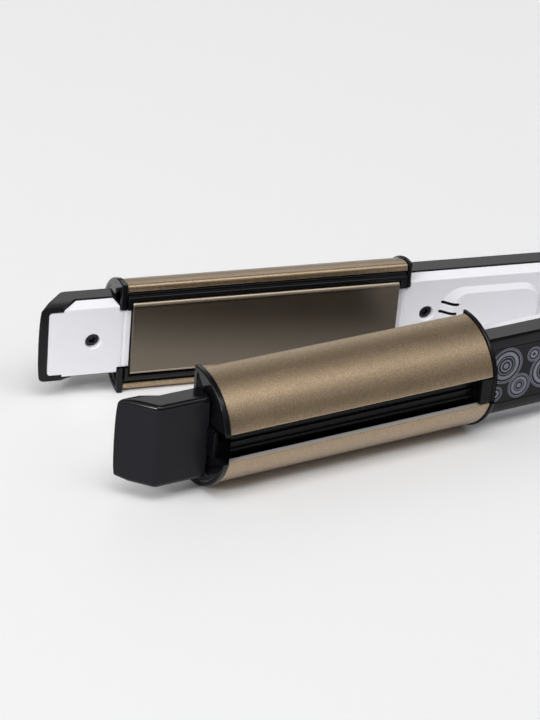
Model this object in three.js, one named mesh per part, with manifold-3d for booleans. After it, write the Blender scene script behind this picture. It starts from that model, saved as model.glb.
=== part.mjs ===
/**
 * A hair straightener whose barrel also curls: two hinged arms lying on their side, opened by the
 * hinge spring. Sizes are in millimetres and angles in degrees. +Z is up and Z = 0 is the floor. The
 * hinge pin stands on the origin, and the fixed arm points along -X with its inner face towards -Y.
 *
 * Each arm is drawn in arm space: along (from the pin towards the tip), out (away from the plane in
 * which the arms meet) and up (from the arm's middle height).
 */
import * as THREE from 'three';
import { mergeVertices } from 'three/addons/utils/BufferGeometryUtils.js';
import Module from 'manifold-3d';

const wasm = await Module();
wasm.setup();

// General
const OPEN_ANGLE = 12;
const GAP = 0.3; // between pieces that seat on each other
const RUN_GAP = 0.4; // round a piece that turns or slides
const PIN_GAP = 0.1; // between the hinge pin and its holes
const MARGIN = 1; // by which a cutting tool runs past what it cuts

// Barrel: two metal shells round an axis just outside the closing plane
const BARREL_RADIUS = 18;
const BARREL_AXIS_OUT = 2.7;
const SHELL_WALL = 1.3;
const SHELL_EDGE_OUT = 1.5;
const SHELL_EDGE_LIP = 2.3;
const SHELL_LIP_WALL = 1.0;
const SLOT_HALF_HEIGHT = 4.4;
const SLOT_LIP = 2.3;
const SHELL_BEFORE_PLATE = 2.5;
const SHELL_AFTER_PLATE = 1.6;
const SHELL_ARC_STEPS = 14;

// End discs of the barrel
const DISC_PROUD = 0.6;
const REAR_DISC_WALL = 1.2;
const TIP_DISC_WALL = 1.9;
const DISC_FACE_OUT = 1.0;
const DISC_ARC_STEPS = 36;

// Heating plate, held by its flanges under the ridges of the carrier
const PLATE_REACH = 158; // from the pin to the near end of the plate
const PLATE_LENGTH = 88;
const PLATE_WIDTH = 25;
const PLATE_FACE_OUT = 0.25;
const PLATE_EDGE_ROUND = 1.2;
const PLATE_RISE = 1.65; // from its face down to the flange
const PLATE_FLANGE = 1.1;
const PLATE_FLANGE_WALL = 1.1;
const PLATE_TRAVEL = 0.6; // inwards, against the cushion

// Plate carrier
const RIDGE_OUT = 0.6;
const RIDGE_WALL = 1.4;
const RIDGE_DEPTH = 1.0;
const STEP_OUT = 1.7;
const STEP_WALL = 1.0;
const CARRIER_FLOOR_OUT = 8.0;
const CARRIER_FLOOR_WALL = 1.5;
const CARRIER_CORNER = 2.5;

// Heater, cushion and fuse between plate and carrier
const HEATER_INSET = 12;
const HEATER_WIDTH = 18;
const HEATER_WALL = 2.4;
const CUSHION_WIDTH = 12;
const CUSHION_INSET = 22;
const FUSE_RADIUS = 1.2;
const FUSE_LENGTH = 9;
const FUSE_UP = 5;

// Spine in the slot, with its tang in the handle and its neck in the tip
const SPINE_OUT = 13.0;
const SPINE_WALL = 1.6;
const SPINE_WIDTH = 12.8;
const RAIL_HEIGHT = 1.6;
const RIB_HEIGHT = 0.8;
const RIB_WIDTH = 0.8;
const RIB_PITCH = 2.4;
const RIB_COUNT = 3;
const SLOT_BLOCK_LENGTH = 3.8;
const SLOT_BLOCK_BELOW_RIM = 0.6;
const TANG_OUT = 7.6;
const TANG_LENGTH = 20;
const TANG_WIDTH = 16;
const NECK_LENGTH = 11;

// Handle section
const HANDLE_HALF_HEIGHT = 13.2;
const HANDLE_FACE_OUT = 13.3;
const HANDLE_BEVEL_OUT = 0.8;
const HANDLE_BEVEL_UP = 1.9;
const PARTING_OUT = 6.2;
const COVER_WALL = 1.6;
const FACE_WALL = 2.0;
const INNER_FACE_OUT = 1.5;
const INNER_FACE_HALF_HEIGHT = 11.8;
const INNER_COVER_STEP = 0.5; // by which the white side walls stay inside the black ones
const INNER_WALL = 1.5;

// White tongues that run through the discs to the plate
const TONGUE_WIDTH = 19.4;
const TONGUE_WALL = 1.8;
const WINDOW_DEPTH_OUT = 6.2;

// Raised pad and its slits on the inner face of the handle
const PAD_TO_END = 11.1; // from the pad to the end of the cover
const PAD_LENGTH = 35.5;
const PAD_WIDTH = 17;
const PAD_CORNER = 7.5;
const PAD_HEIGHT = 1.0;
const PAD_SLOPE = 2.6;
const SLIT_COUNT = 3;
const SLIT_PITCH = 3.2;
const SLIT_LENGTH = 6.4;
const SLIT_WIDTH = 0.8;

// Inlay panel in the outer face of the handle
const PANEL_TO_DISC = 3.0;
const PANEL_WIDTH = 19.2;
const PANEL_CORNER = 1.5;
const PANEL_RECESS = 0.9;
const PANEL_WALL = 0.8;
const PANEL_AFTER_LENS = 5.8; // on the fixed arm
const PANEL_LENGTH_MOVING = 88;

// Tip
const NECK_SHOWN = 1.1;
const CAP_LENGTH = 24.4;
const CAP_FACE_OUT = 12.3;
const CAP_FACE_LENGTH = 15.7;
const CAP_HALF_HEIGHT = 13.3;
const CAP_BEVEL = 1.2;
const CAP_WALL = 1.6;
const NOSE_OUT = 1.7;
const TIP_FACE_HALF_HEIGHT = 11.3;
const TIP_PARTING_OUT = 5.0;
const TIP_PARTING_HALF_HEIGHT = 12.9;
const TIP_FACE_TO_NOSE = 3.6;
const TIP_SIDE_FOOT = 8.2; // where the white side walls end, back from the tip
const TIP_SIDE_SLANT = 3.7;
const TIP_CORNER_CUT = 1.4;

// Screws and their bosses
const SCREW_HEAD_RADIUS = 2.1;
const SCREW_HEAD_HEIGHT = 1.6;
const SCREW_RADIUS = 1.2;
const SCREW_LENGTH = 7.2;
const SCREW_SUNK = 1.5;
const SCREW_SOCKET_RADIUS = 1.0;
const SCREW_SOCKET_DEPTH = 0.9;
const BOSS_WALL = 1.2;
const HANDLE_SCREW_TO_END = 6.6;
const TIP_SCREW_FROM_CAP = 6.9;

// Hinge
const KNUCKLE_HALF_HEIGHT = 7.6;
const PIN_RADIUS = 2.0;
const HORN_START = 6;
const SPRING_POCKET_RADIUS = 5.2;
const SPRING_POCKET_FLOOR = -1.0;
const SPRING_RADIUS = 3.7;
const SPRING_WIRE_RADIUS = 0.55;
const SPRING_TURNS = 5;
const SPRING_STEPS_PER_TURN = 12;
const HINGE_CAP_RADIUS = 11.5;
const HINGE_CAP_BEVEL = 2.0;
const HINGE_CAP_FLOOR = 3.0;

// Tail with the cord swivel
const TAIL_HALF_WIDTH = 9.8;
const TAIL_NECK_HALF_HEIGHT = 7.4;
const TAIL_START = 14;
const TAIL_LENGTH = 17;
const TAIL_CUP_DEPTH = 12;
const TAIL_WALL = 1.9;
const SWIVEL_FLANGE_WALL = 3;
const SWIVEL_RADIUS = 5.4;
const SWIVEL_BORE = 3.6;
const SWIVEL_PROUD = 5;
const COLLAR_RIM = 2.2;

// Controls on the outer face of the fixed arm
const POWER_REACH = 48;
const POWER_RADIUS = 4.2;
const STEP_BUTTON_RADIUS = 3.4;
const POWER_SPACE = 4.4; // between the power button and the next
const STEP_SPACE = 2.7; // between the two temperature buttons
const BUTTON_PROUD = 0.9;
const BUTTON_EDGE = 0.5;
const BUTTON_FLANGE = 1.0;
const BUTTON_FLANGE_WALL = 1.0;
const BUTTON_STEM_RADIUS = 1.5;
const BUTTON_TRAVEL = 0.6;
const LENS_SPACE = 3.2; // between the last button and the lens
const LENS_RADIUS = 1.4;
const LENS_PROUD = 0.2;
const BOARD_BEFORE_POWER = 8;
const BOARD_LENGTH = 56;
const BOARD_WIDTH = 20;
const BOARD_WALL = 1.6;
const BOARD_OUT = 5.0;
const SWITCH_SIZE = 4;
const SWITCH_HEIGHT = 1.4;
const POST_RADIUS = 1.6;
const POST_INSET = 3;

// Lock slider with its hook
const LOCK_START = 26;
const LOCK_LEG = 3;
const LOCK_UP = 4;
const LOCK_HEIGHT = 4;
const LOCK_TRAVEL = 3;
const LOCK_TOE = 2;
const LOCK_TOE_WALL = 1.8;
const LOCK_STEM_OUT = 8.2;
const LOCK_STEM_WALL = 2.2;
const LOCK_KNOB_LENGTH = 11;
const LOCK_KNOB_WIDTH = 5.0;
const LOCK_KNOB_HEIGHT = 1.7;
const LOCK_ENTRY_SLACK = 0.8;

// Leads
const LEAD_RADIUS = 0.9;
const LEAD_OUT = 4.7;
const LEAD_UP = -5;
const SUPPLY_RADIUS = 1.1;
const SUPPLY_OUT = 7.4;

const ROUND_STEPS = 24;
const FINE_STEPS = 36;
const SMALL_STEPS = 12;

// Places along the arm that follow from the sizes above
const plateEnd = PLATE_REACH + PLATE_LENGTH;
const shellStart = PLATE_REACH - SHELL_BEFORE_PLATE;
const shellEnd = plateEnd + SHELL_AFTER_PLATE;
const rearDiscEnd = shellStart - GAP;
const rearDiscStart = rearDiscEnd - REAR_DISC_WALL;
const tipDiscStart = shellEnd + GAP;
const tipDiscEnd = tipDiscStart + TIP_DISC_WALL;
const handleEnd = rearDiscStart - GAP;
const tipCoverStart = tipDiscEnd + GAP;
const capStart = tipCoverStart + NECK_SHOWN;
const tipEnd = capStart + CAP_LENGTH;
const tipFaceEnd = tipEnd - TIP_FACE_TO_NOSE;

// Places outwards and upwards
const discRadius = BARREL_RADIUS + DISC_PROUD;
const restHeight = discRadius;
const pinHalf = restHeight - HINGE_CAP_FLOOR;
const shellInside = BARREL_RADIUS - SHELL_WALL;
const plateFlangeOut = PLATE_FACE_OUT + PLATE_RISE;
const plateBackOut = plateFlangeOut + PLATE_FLANGE_WALL;
const plateHalf = PLATE_WIDTH / 2;
const ridgeInside = plateHalf + RUN_GAP;
const cavityHalf = plateHalf + PLATE_FLANGE + GAP;
const ridgeOutside = ridgeInside + RIDGE_WALL;
const carrierHalf = ridgeOutside + STEP_WALL;
const carrierBackOut = CARRIER_FLOOR_OUT + CARRIER_FLOOR_WALL;
const heaterOut = plateBackOut + GAP;
const heaterBackOut = heaterOut + HEATER_WALL;
const cushionOut = heaterBackOut + PLATE_TRAVEL + GAP;
const coverInsideOut = HANDLE_FACE_OUT - FACE_WALL;
const tangBackOut = coverInsideOut - GAP;
const tongueBackOut = INNER_FACE_OUT + TONGUE_WALL;
const drumRadius = HANDLE_FACE_OUT;
const drumClear = drumRadius + RUN_GAP;
const earStart = KNUCKLE_HALF_HEIGHT + RUN_GAP;
const innerCoverStart = drumClear + GAP;
const cupRadius = TAIL_HALF_WIDTH - TAIL_WALL;
const tailEnd = TAIL_START + TAIL_LENGTH;
const panelEnd = handleEnd - PANEL_TO_DISC;
const padEnd = handleEnd - PAD_TO_END;
const handleScrewReach = handleEnd - HANDLE_SCREW_TO_END;
const tipScrewReach = capStart + TIP_SCREW_FROM_CAP;
const coolerReach = POWER_REACH + POWER_RADIUS + POWER_SPACE + STEP_BUTTON_RADIUS;
const warmerReach = coolerReach + STEP_SPACE + 2 * STEP_BUTTON_RADIUS;
const lensReach = warmerReach + STEP_BUTTON_RADIUS + LENS_SPACE + LENS_RADIUS;
const panelLengthFixed = panelEnd - (lensReach + LENS_RADIUS + PANEL_AFTER_LENS);
const boardStart = POWER_REACH - BOARD_BEFORE_POWER;
const screwHeadOut = INNER_FACE_OUT + SCREW_SUNK;
const boardFaceOut = BOARD_OUT + BOARD_WALL;
const switchFaceOut = boardFaceOut + SWITCH_HEIGHT;

const ALONG = new THREE.Vector3(1, 0, 0);
const OUT = new THREE.Vector3(0, 1, 0);
const UP = new THREE.Vector3(0, 0, 1);
const BOTH_SIDES = [1, -1];

const FINISH = {
	shell: new THREE.MeshStandardMaterial({ color: 0x8f7e69, roughness: 0.38, metalness: 0.85 }),
	plate: new THREE.MeshStandardMaterial({ color: 0x6f6455, roughness: 0.22, metalness: 0.9 }),
	blackGloss: new THREE.MeshStandardMaterial({ color: 0x121214, roughness: 0.12, metalness: 0 }),
	blackMatte: new THREE.MeshStandardMaterial({ color: 0x17171a, roughness: 0.45, metalness: 0 }),
	white: new THREE.MeshStandardMaterial({ color: 0xdfdde4, roughness: 0.4, metalness: 0 }),
	inlay: new THREE.MeshStandardMaterial({ color: 0x35363b, roughness: 0.3, metalness: 0 }),
	screw: new THREE.MeshStandardMaterial({ color: 0x1b1b1d, roughness: 0.35, metalness: 0.9 }),
	steel: new THREE.MeshStandardMaterial({ color: 0x9a9ca0, roughness: 0.3, metalness: 1 }),
	ceramic: new THREE.MeshStandardMaterial({ color: 0xd8d4c8, roughness: 0.7, metalness: 0 }),
	silicone: new THREE.MeshStandardMaterial({ color: 0xb4452f, roughness: 0.7, metalness: 0 }),
	board: new THREE.MeshStandardMaterial({ color: 0x1f5a34, roughness: 0.5, metalness: 0 }),
	lead: new THREE.MeshStandardMaterial({ color: 0xa8a8a4, roughness: 0.6, metalness: 0 }),
	lens: new THREE.MeshStandardMaterial({ color: 0xb02a20, roughness: 0.15, metalness: 0 }),
};

/** Matrix that lays a drawing's x, y and depth along three directions of arm space. */
function laidAlong(x, y, depth) {
	return new THREE.Matrix4().makeBasis(x, y, depth);
}

/** Six times the volume that a triangle soup encloses; negative if its faces point inwards. */
function enclosed(points, triangles) {
	const corner = [new THREE.Vector3(), new THREE.Vector3(), new THREE.Vector3()];
	let sum = 0;
	for (let i = 0; i < triangles.length; i += 3) {
		corner.forEach((c, k) => c.fromArray(points, 3 * triangles[i + k]));
		sum += corner[0].dot(corner[1].cross(corner[2]));
	}
	return sum;
}

/** Turns a closed geometry into a solid, with coincident vertices merged and faces pointing out. */
function solidOf(geometry, matrix = new THREE.Matrix4()) {
	const copy = geometry.clone().applyMatrix4(matrix);
	copy.deleteAttribute('normal');
	copy.deleteAttribute('uv');
	const merged = mergeVertices(copy, 1e-4);
	const points = merged.attributes.position.array;
	const kept = [];
	for (let i = 0; i < merged.index.count; i += 3) {
		const [a, b, c] = merged.index.array.slice(i, i + 3);
		if (a !== b && b !== c && a !== c) kept.push(a, b, c);
	}
	if (enclosed(points, kept) < 0) kept.reverse();
	const mesh = new wasm.Mesh({
		numProp: 3,
		vertProperties: Float32Array.from(points),
		triVerts: Uint32Array.from(kept),
	});
	return new wasm.Manifold(mesh);
}

const joined = (...solids) => solids.reduce((whole, solid) => whole.add(solid));
const without = (solid, ...tools) => tools.reduce((rest, tool) => rest.subtract(tool), solid);

/** Box between two distances along, outwards and upwards. */
function block([along0, along1], [out0, out1], [up0, up1]) {
	const box = new THREE.BoxGeometry(along1 - along0, out1 - out0, up1 - up0);
	box.translate((along0 + along1) / 2, (out0 + out1) / 2, (up0 + up1) / 2);
	return solidOf(box);
}

const shapeOf = (points) => new THREE.Shape(points.map(([x, y]) => new THREE.Vector2(x, y)));

/** Extrusion of an outline, from one depth to another, with a bevel at both ends if asked. */
function extruded(outline, from, to, matrix, bevelHeight = 0, bevelWidth = bevelHeight) {
	const shape = outline instanceof THREE.Shape ? outline : shapeOf(outline);
	const geometry = new THREE.ExtrudeGeometry(shape, {
		depth: to - from - 2 * bevelHeight,
		bevelEnabled: bevelHeight > 0,
		bevelThickness: bevelHeight,
		bevelSize: bevelWidth,
		bevelOffset: -bevelWidth,
		bevelSegments: 1,
		curveSegments: 5,
	});
	geometry.translate(0, 0, from + bevelHeight);
	return solidOf(geometry, matrix);
}

/** Section drawn outwards and upwards, run along the arm. */
const runAlong = (outline, from, to) => extruded(outline, from, to, laidAlong(OUT, UP, ALONG));

/** Plan drawn along and outwards, raised from one height to another. */
function raised(outline, from, to, ...bevel) {
	return extruded(outline, from, to, laidAlong(ALONG, OUT, UP), ...bevel);
}

/** Face drawn along and upwards, thickened outwards. */
function thickened(outline, from, to, ...bevel) {
	return extruded(outline, from, to, laidAlong(ALONG, UP, OUT), ...bevel);
}

/** Solid of revolution; the profile gives radius and distance along the axis. */
function turned(profile, axis, steps = ROUND_STEPS) {
	const across = axis === UP ? ALONG : UP;
	const other = new THREE.Vector3().crossVectors(across, axis);
	const points = profile.map(([radius, height]) => new THREE.Vector2(radius, height));
	return solidOf(new THREE.LatheGeometry(points, steps), laidAlong(across, axis, other));
}

function rod(radius, from, to, axis, steps) {
	return turned([[0, from], [radius, from], [radius, to], [0, to]], axis, steps);
}

/** The same rod, with its axis moved to a place in arm space. */
function rodAt(radius, from, to, axis, [along, out, up], steps = ROUND_STEPS) {
	const geometry = new THREE.CylinderGeometry(radius, radius, to - from, steps);
	geometry.translate(0, (from + to) / 2, 0);
	const across = axis === UP ? ALONG : UP;
	const other = new THREE.Vector3().crossVectors(across, axis);
	const matrix = laidAlong(across, axis, other).setPosition(along, out, up);
	return solidOf(geometry, matrix);
}

const mirrored = (points) => points.map(([out, up]) => [out, -up]).reverse();

/** Points of an arc round a centre, from one angle to another, ends included. */
function arc([x, y], radius, from, to, steps) {
	return Array.from({ length: steps + 1 }, (_, i) => {
		const angle = from + ((to - from) * i) / steps;
		return [x + radius * Math.cos(angle), y + radius * Math.sin(angle)];
	});
}

/** Rectangle with rounded corners, between two corners. */
function roundedRectangle([x0, x1], [y0, y1], radius) {
	const quarter = Math.PI / 2;
	const [left, right, low, high] = [x0 + radius, x1 - radius, y0 + radius, y1 - radius];
	const centres = [[right, high], [left, high], [left, low], [right, low]];
	return centres.flatMap((centre, i) => arc(centre, radius, i * quarter, (i + 1) * quarter, 5));
}

/** A smooth round lead through points of arm space. */
function leadThrough(points, radius) {
	const route = new THREE.CatmullRomCurve3(points.map((p) => new THREE.Vector3(...p)));
	const section = shapeOf(arc([0, 0], radius, 0, 2 * Math.PI, 8).slice(0, -1));
	const options = { steps: 16, extrudePath: route, bevelEnabled: false };
	return solidOf(new THREE.ExtrudeGeometry(section, options));
}

/** Outward angle, seen from the barrel axis, of a point of the shells at a given height. */
const slotAngle = (radius, height) => Math.asin(height / radius);

/** Section of the upper shell: arc, folded lip beside the plate and flat lip in the slot. */
function shellSection() {
	const centre = [BARREL_AXIS_OUT, 0];
	const edge = SHELL_EDGE_OUT - BARREL_AXIS_OUT;
	const outerStart = slotAngle(BARREL_RADIUS, SLOT_HALF_HEIGHT);
	const outerEnd = Math.acos(edge / BARREL_RADIUS);
	const outer = arc(centre, BARREL_RADIUS, outerStart, outerEnd, SHELL_ARC_STEPS);
	const edgeTop = outer[outer.length - 1][1];
	const lipBack = edge + SHELL_LIP_WALL;
	const innerEnd = Math.acos(lipBack / shellInside);
	const slotTop = SLOT_HALF_HEIGHT + SHELL_LIP_WALL;
	const inner = arc(centre, shellInside, innerEnd, slotAngle(shellInside, slotTop), SHELL_ARC_STEPS);
	const slotLipOut = outer[0][0] - SLOT_LIP;
	return [
		...outer,
		[SHELL_EDGE_OUT, edgeTop - SHELL_EDGE_LIP],
		[SHELL_EDGE_OUT + SHELL_LIP_WALL, edgeTop - SHELL_EDGE_LIP],
		...inner,
		[slotLipOut, slotTop],
		[slotLipOut, SLOT_HALF_HEIGHT],
	];
}

/** End disc, flat beside the closing plane, with its window and the notch for the slot. */
function endDisc(from, to, tangWindow) {
	const centre = [BARREL_AXIS_OUT, 0];
	const flat = Math.acos((DISC_FACE_OUT - BARREL_AXIS_OUT) / discRadius);
	const disc = runAlong(arc(centre, discRadius, -flat, flat, DISC_ARC_STEPS), from, to);
	const span = [from - MARGIN, to + MARGIN];
	const windowHalf = TONGUE_WIDTH / 2 + GAP;
	const window = block(span, [DISC_FACE_OUT - MARGIN, WINDOW_DEPTH_OUT], [-windowHalf, windowHalf]);
	const notchOut = [SPINE_OUT - GAP, BARREL_AXIS_OUT + discRadius + MARGIN];
	const notch = block(span, notchOut, [-SLOT_HALF_HEIGHT, SLOT_HALF_HEIGHT]);
	const cuts = [window, notch];
	if (tangWindow) {
		const half = TANG_WIDTH / 2 + GAP;
		cuts.push(block(span, [carrierBackOut, coverInsideOut], [-half, half]));
	}
	return without(disc, ...cuts);
}

/** Carrier: a trough with ridges beside the plate and end walls that let the tongues through. */
function plateCarrier() {
	const back = carrierBackOut;
	const upper = [
		[RIDGE_OUT, ridgeOutside],
		[STEP_OUT, ridgeOutside],
		[STEP_OUT, carrierHalf],
		[back - CARRIER_CORNER, carrierHalf],
		[back, carrierHalf - CARRIER_CORNER / 2],
	];
	const body = runAlong([...upper, ...mirrored(upper)], shellStart, shellEnd);
	const lipBack = RIDGE_OUT + RIDGE_DEPTH;
	const cavityUpper = [
		[RIDGE_OUT - MARGIN, ridgeInside],
		[lipBack, ridgeInside],
		[lipBack, cavityHalf],
		[CARRIER_FLOOR_OUT, cavityHalf],
	];
	const cavitySection = [...cavityUpper, ...mirrored(cavityUpper)];
	const cavity = runAlong(cavitySection, PLATE_REACH - RUN_GAP, plateEnd + RUN_GAP);
	const windowHalf = TONGUE_WIDTH / 2 + GAP;
	const span = [shellStart - MARGIN, shellEnd + MARGIN];
	const window = block(span, [RIDGE_OUT - MARGIN, WINDOW_DEPTH_OUT], [-windowHalf, windowHalf]);
	return without(body, cavity, window);
}

/** Plate with rounded long edges and a flange along each. */
function heatingPlate() {
	const centre = [PLATE_FACE_OUT + PLATE_EDGE_ROUND, plateHalf - PLATE_EDGE_ROUND];
	const round = arc(centre, PLATE_EDGE_ROUND, Math.PI, Math.PI / 2, 4);
	const upper = [
		...round,
		[plateFlangeOut, plateHalf],
		[plateFlangeOut, plateHalf + PLATE_FLANGE],
		[plateBackOut, plateHalf + PLATE_FLANGE],
	];
	return runAlong([...upper, ...mirrored(upper)], PLATE_REACH, plateEnd);
}

/** Flat piece behind the plate, with an inset from both its ends. */
function behindPlate(inset, out, width) {
	return block([PLATE_REACH + inset, plateEnd - inset], out, [-width / 2, width / 2]);
}

const heater = () => behindPlate(HEATER_INSET, [heaterOut, heaterBackOut], HEATER_WIDTH);
const cushion = () => behindPlate(CUSHION_INSET, [cushionOut, CARRIER_FLOOR_OUT - GAP], CUSHION_WIDTH);

function thermalFuse() {
	const from = PLATE_REACH + MARGIN;
	const place = [0, CARRIER_FLOOR_OUT - GAP - FUSE_RADIUS, FUSE_UP];
	return rodAt(FUSE_RADIUS, from, from + FUSE_LENGTH, ALONG, place, SMALL_STEPS);
}

/** Spine: ribbed floor of the slot, block at its rear end, tang in the handle and neck in the tip. */
function spine() {
	const shellSpan = [shellStart, shellEnd];
	const floorOut = SPINE_OUT + SPINE_WALL;
	const railOut = floorOut + RAIL_HEIGHT;
	const slotHeight = [GAP - SLOT_HALF_HEIGHT, SLOT_HALF_HEIGHT - GAP];
	const base = block(shellSpan, [SPINE_OUT, floorOut], [-SPINE_WIDTH / 2, SPINE_WIDTH / 2]);
	const rail = block(shellSpan, [SPINE_OUT, railOut], slotHeight);
	const ribs = Array.from({ length: RIB_COUNT }, (_, i) => {
		const middle = (i - (RIB_COUNT - 1) / 2) * RIB_PITCH;
		const height = [middle - RIB_WIDTH / 2, middle + RIB_WIDTH / 2];
		return block(shellSpan, [floorOut, railOut + RIB_HEIGHT], height);
	});
	const blockEnd = shellStart + SLOT_BLOCK_LENGTH;
	const blockOut = BARREL_AXIS_OUT + BARREL_RADIUS - SLOT_BLOCK_BELOW_RIM;
	const slotBlock = block([rearDiscStart, blockEnd], [SPINE_OUT, blockOut], slotHeight);
	const tangStart = handleEnd - TANG_LENGTH;
	const tangRoot = carrierBackOut + GAP;
	const tangHeight = [-TANG_WIDTH / 2, TANG_WIDTH / 2];
	const web = block([shellStart, blockEnd], [tangRoot, floorOut], tangHeight);
	const bridge = block([tangStart, blockEnd], [tangRoot, tangBackOut], tangHeight);
	const tang = block([tangStart, handleEnd], [TANG_OUT, tangBackOut], tangHeight);
	const neckFront = capStart - GAP;
	const nose = block([shellEnd - MARGIN, neckFront], [SPINE_OUT, railOut], slotHeight);
	const neckWeb = block([tipCoverStart, neckFront], [TANG_OUT, railOut], slotHeight);
	const neckHalf = CAP_HALF_HEIGHT - CAP_WALL - GAP;
	const neckBack = CAP_FACE_OUT - CAP_WALL - GAP;
	const neckSpan = [tipCoverStart, capStart + NECK_LENGTH];
	const neck = block(neckSpan, [TANG_OUT, neckBack], [-neckHalf, neckHalf]);
	const body = joined(base, rail, ...ribs, slotBlock, web, bridge, tang, nose, neckWeb, neck);
	return without(body, ...[handleScrewReach, tipScrewReach].map((reach) => {
		const place = [reach, 0, 0];
		return rodAt(SCREW_RADIUS + GAP, TANG_OUT - MARGIN, tangBackOut + MARGIN, OUT, place, SMALL_STEPS);
	}));
}

/** Height of the white side wall at a distance outwards, between face and parting line. */
function sideHeight(out, faceHalf, partingOut, partingHalf) {
	const share = (out - INNER_FACE_OUT) / (partingOut - INNER_FACE_OUT);
	return faceHalf + (partingHalf - faceHalf) * share;
}

/** Solid with the outside of a white cover: narrow at its face, wider at the parting line. */
function coverForm(from, to, faceHalf, partingOut, partingHalf, inset) {
	const face = INNER_FACE_OUT + inset;
	const back = inset > 0 ? partingOut + MARGIN : partingOut;
	const half = (out) => sideHeight(out, faceHalf, partingOut, partingHalf) - inset;
	const upper = [[face, half(face)], [back, half(back)]];
	return runAlong([...upper, ...mirrored(upper)], from, to);
}

/** Boss for a screw: a tube on the back of the cover, with a seat for the head. */
function screwBoss(along) {
	const radius = SCREW_HEAD_RADIUS + GAP + BOSS_WALL;
	return rodAt(radius, INNER_FACE_OUT + MARGIN / 2, TANG_OUT - GAP, OUT, [along, 0, 0]);
}

function screwHole(along) {
	const seat = screwHeadOut + SCREW_HEAD_HEIGHT + GAP / 2;
	const place = [along, 0, 0];
	const head = rodAt(SCREW_HEAD_RADIUS + GAP, INNER_FACE_OUT - MARGIN, seat, OUT, place);
	const shank = rodAt(SCREW_RADIUS + GAP, INNER_FACE_OUT, TANG_OUT + MARGIN, OUT, place, SMALL_STEPS);
	return head.add(shank);
}

/** Raised pad with sloping sides, and the slits across its end nearer the tip. */
function pad() {
	const width = [-PAD_WIDTH / 2, PAD_WIDTH / 2];
	const outline = roundedRectangle([padEnd - PAD_LENGTH, padEnd], width, PAD_CORNER);
	const top = INNER_FACE_OUT - PAD_HEIGHT;
	return thickened(outline, top, top + 2 * PAD_HEIGHT + GAP, PAD_HEIGHT, PAD_SLOPE);
}

function slits() {
	const through = [INNER_FACE_OUT - PAD_HEIGHT - MARGIN, INNER_FACE_OUT + INNER_WALL + MARGIN];
	return Array.from({ length: SLIT_COUNT }, (_, i) => {
		const middle = (i - (SLIT_COUNT - 1) / 2) * SLIT_PITCH;
		const height = [middle - SLIT_WIDTH / 2, middle + SLIT_WIDTH / 2];
		return block([padEnd - SLIT_LENGTH, padEnd], through, height);
	});
}

/** Opening in an inner cover for the leg of the lock, and on the moving arm for its toe as well. */
function lockOpening(forToe) {
	const slack = forToe ? LOCK_ENTRY_SLACK : RUN_GAP;
	const along = [LOCK_START - slack, LOCK_START + LOCK_LEG + LOCK_TRAVEL + RUN_GAP];
	const through = [INNER_FACE_OUT - MARGIN, INNER_FACE_OUT + INNER_WALL + MARGIN];
	return block(along, through, [LOCK_UP - slack, LOCK_UP + LOCK_HEIGHT + slack]);
}

function tongueBetween(from, to) {
	return block([from, to], [INNER_FACE_OUT, tongueBackOut], [-TONGUE_WIDTH / 2, TONGUE_WIDTH / 2]);
}

/** White inner cover of a handle. */
function handleInnerCover(isMoving) {
	const limits = [INNER_FACE_HALF_HEIGHT, PARTING_OUT - GAP, HANDLE_HALF_HEIGHT - INNER_COVER_STEP];
	const body = coverForm(innerCoverStart, handleEnd, ...limits, 0);
	const hollow = coverForm(innerCoverStart + INNER_WALL, handleEnd + MARGIN, ...limits, INNER_WALL);
	const tongue = tongueBetween(handleEnd - MARGIN, PLATE_REACH - GAP);
	const shell = joined(body.subtract(hollow), tongue, screwBoss(handleScrewReach), pad());
	return without(shell, screwHole(handleScrewReach), lockOpening(isMoving), ...slits());
}

/** Side walls of a tip's inner cover, over the full height: they end on a slant before the nose. */
function tipSideSpace(grow) {
	const start = tipCoverStart - 2 * MARGIN;
	const foot = tipEnd - TIP_SIDE_FOOT + grow;
	const side = [
		[start, INNER_FACE_OUT - MARGIN],
		[foot, INNER_FACE_OUT - MARGIN],
		[foot, INNER_FACE_OUT],
		[foot - TIP_SIDE_SLANT, TIP_PARTING_OUT + grow],
		[start, TIP_PARTING_OUT + grow],
	];
	return raised(side, -CAP_HALF_HEIGHT - MARGIN, CAP_HALF_HEIGHT + MARGIN);
}

/** Face of a tip's inner cover, which runs on to the nose. */
function tipFace(grow) {
	const half = TIP_FACE_HALF_HEIGHT - INNER_WALL / 2 + grow;
	const out = [INNER_FACE_OUT - grow, INNER_FACE_OUT + INNER_WALL + grow];
	return block([capStart, tipFaceEnd + grow], out, [-half, half]);
}

/** White inner cover of a tip. */
function tipInnerCover() {
	const start = tipCoverStart;
	const corner = TIP_CORNER_CUT;
	const high = CAP_HALF_HEIGHT + MARGIN;
	const outline = [
		[start, TIP_FACE_HALF_HEIGHT],
		[start + corner, TIP_FACE_HALF_HEIGHT + corner],
		[start + corner, high],
		[tipEnd, high],
	];
	const partingAt = [TIP_FACE_HALF_HEIGHT, TIP_PARTING_OUT, TIP_PARTING_HALF_HEIGHT];
	const walls = coverForm(start - MARGIN, tipEnd, ...partingAt, 0);
	const behind = TIP_PARTING_OUT + MARGIN;
	const limits = thickened([...outline, ...mirrored(outline)], INNER_FACE_OUT - MARGIN, behind);
	const trimmed = walls.intersect(tipSideSpace(0)).intersect(limits).add(tipFace(0));
	const hollowHalf = TIP_FACE_HALF_HEIGHT - INNER_WALL;
	const hollowOut = [INNER_FACE_OUT + INNER_WALL, behind];
	const hollow = block([start - MARGIN, tipEnd], hollowOut, [-hollowHalf, hollowHalf]);
	const tongue = tongueBetween(plateEnd + GAP, capStart);
	const shell = joined(trimmed.subtract(hollow), tongue, screwBoss(tipScrewReach));
	return shell.subtract(screwHole(tipScrewReach));
}

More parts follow.
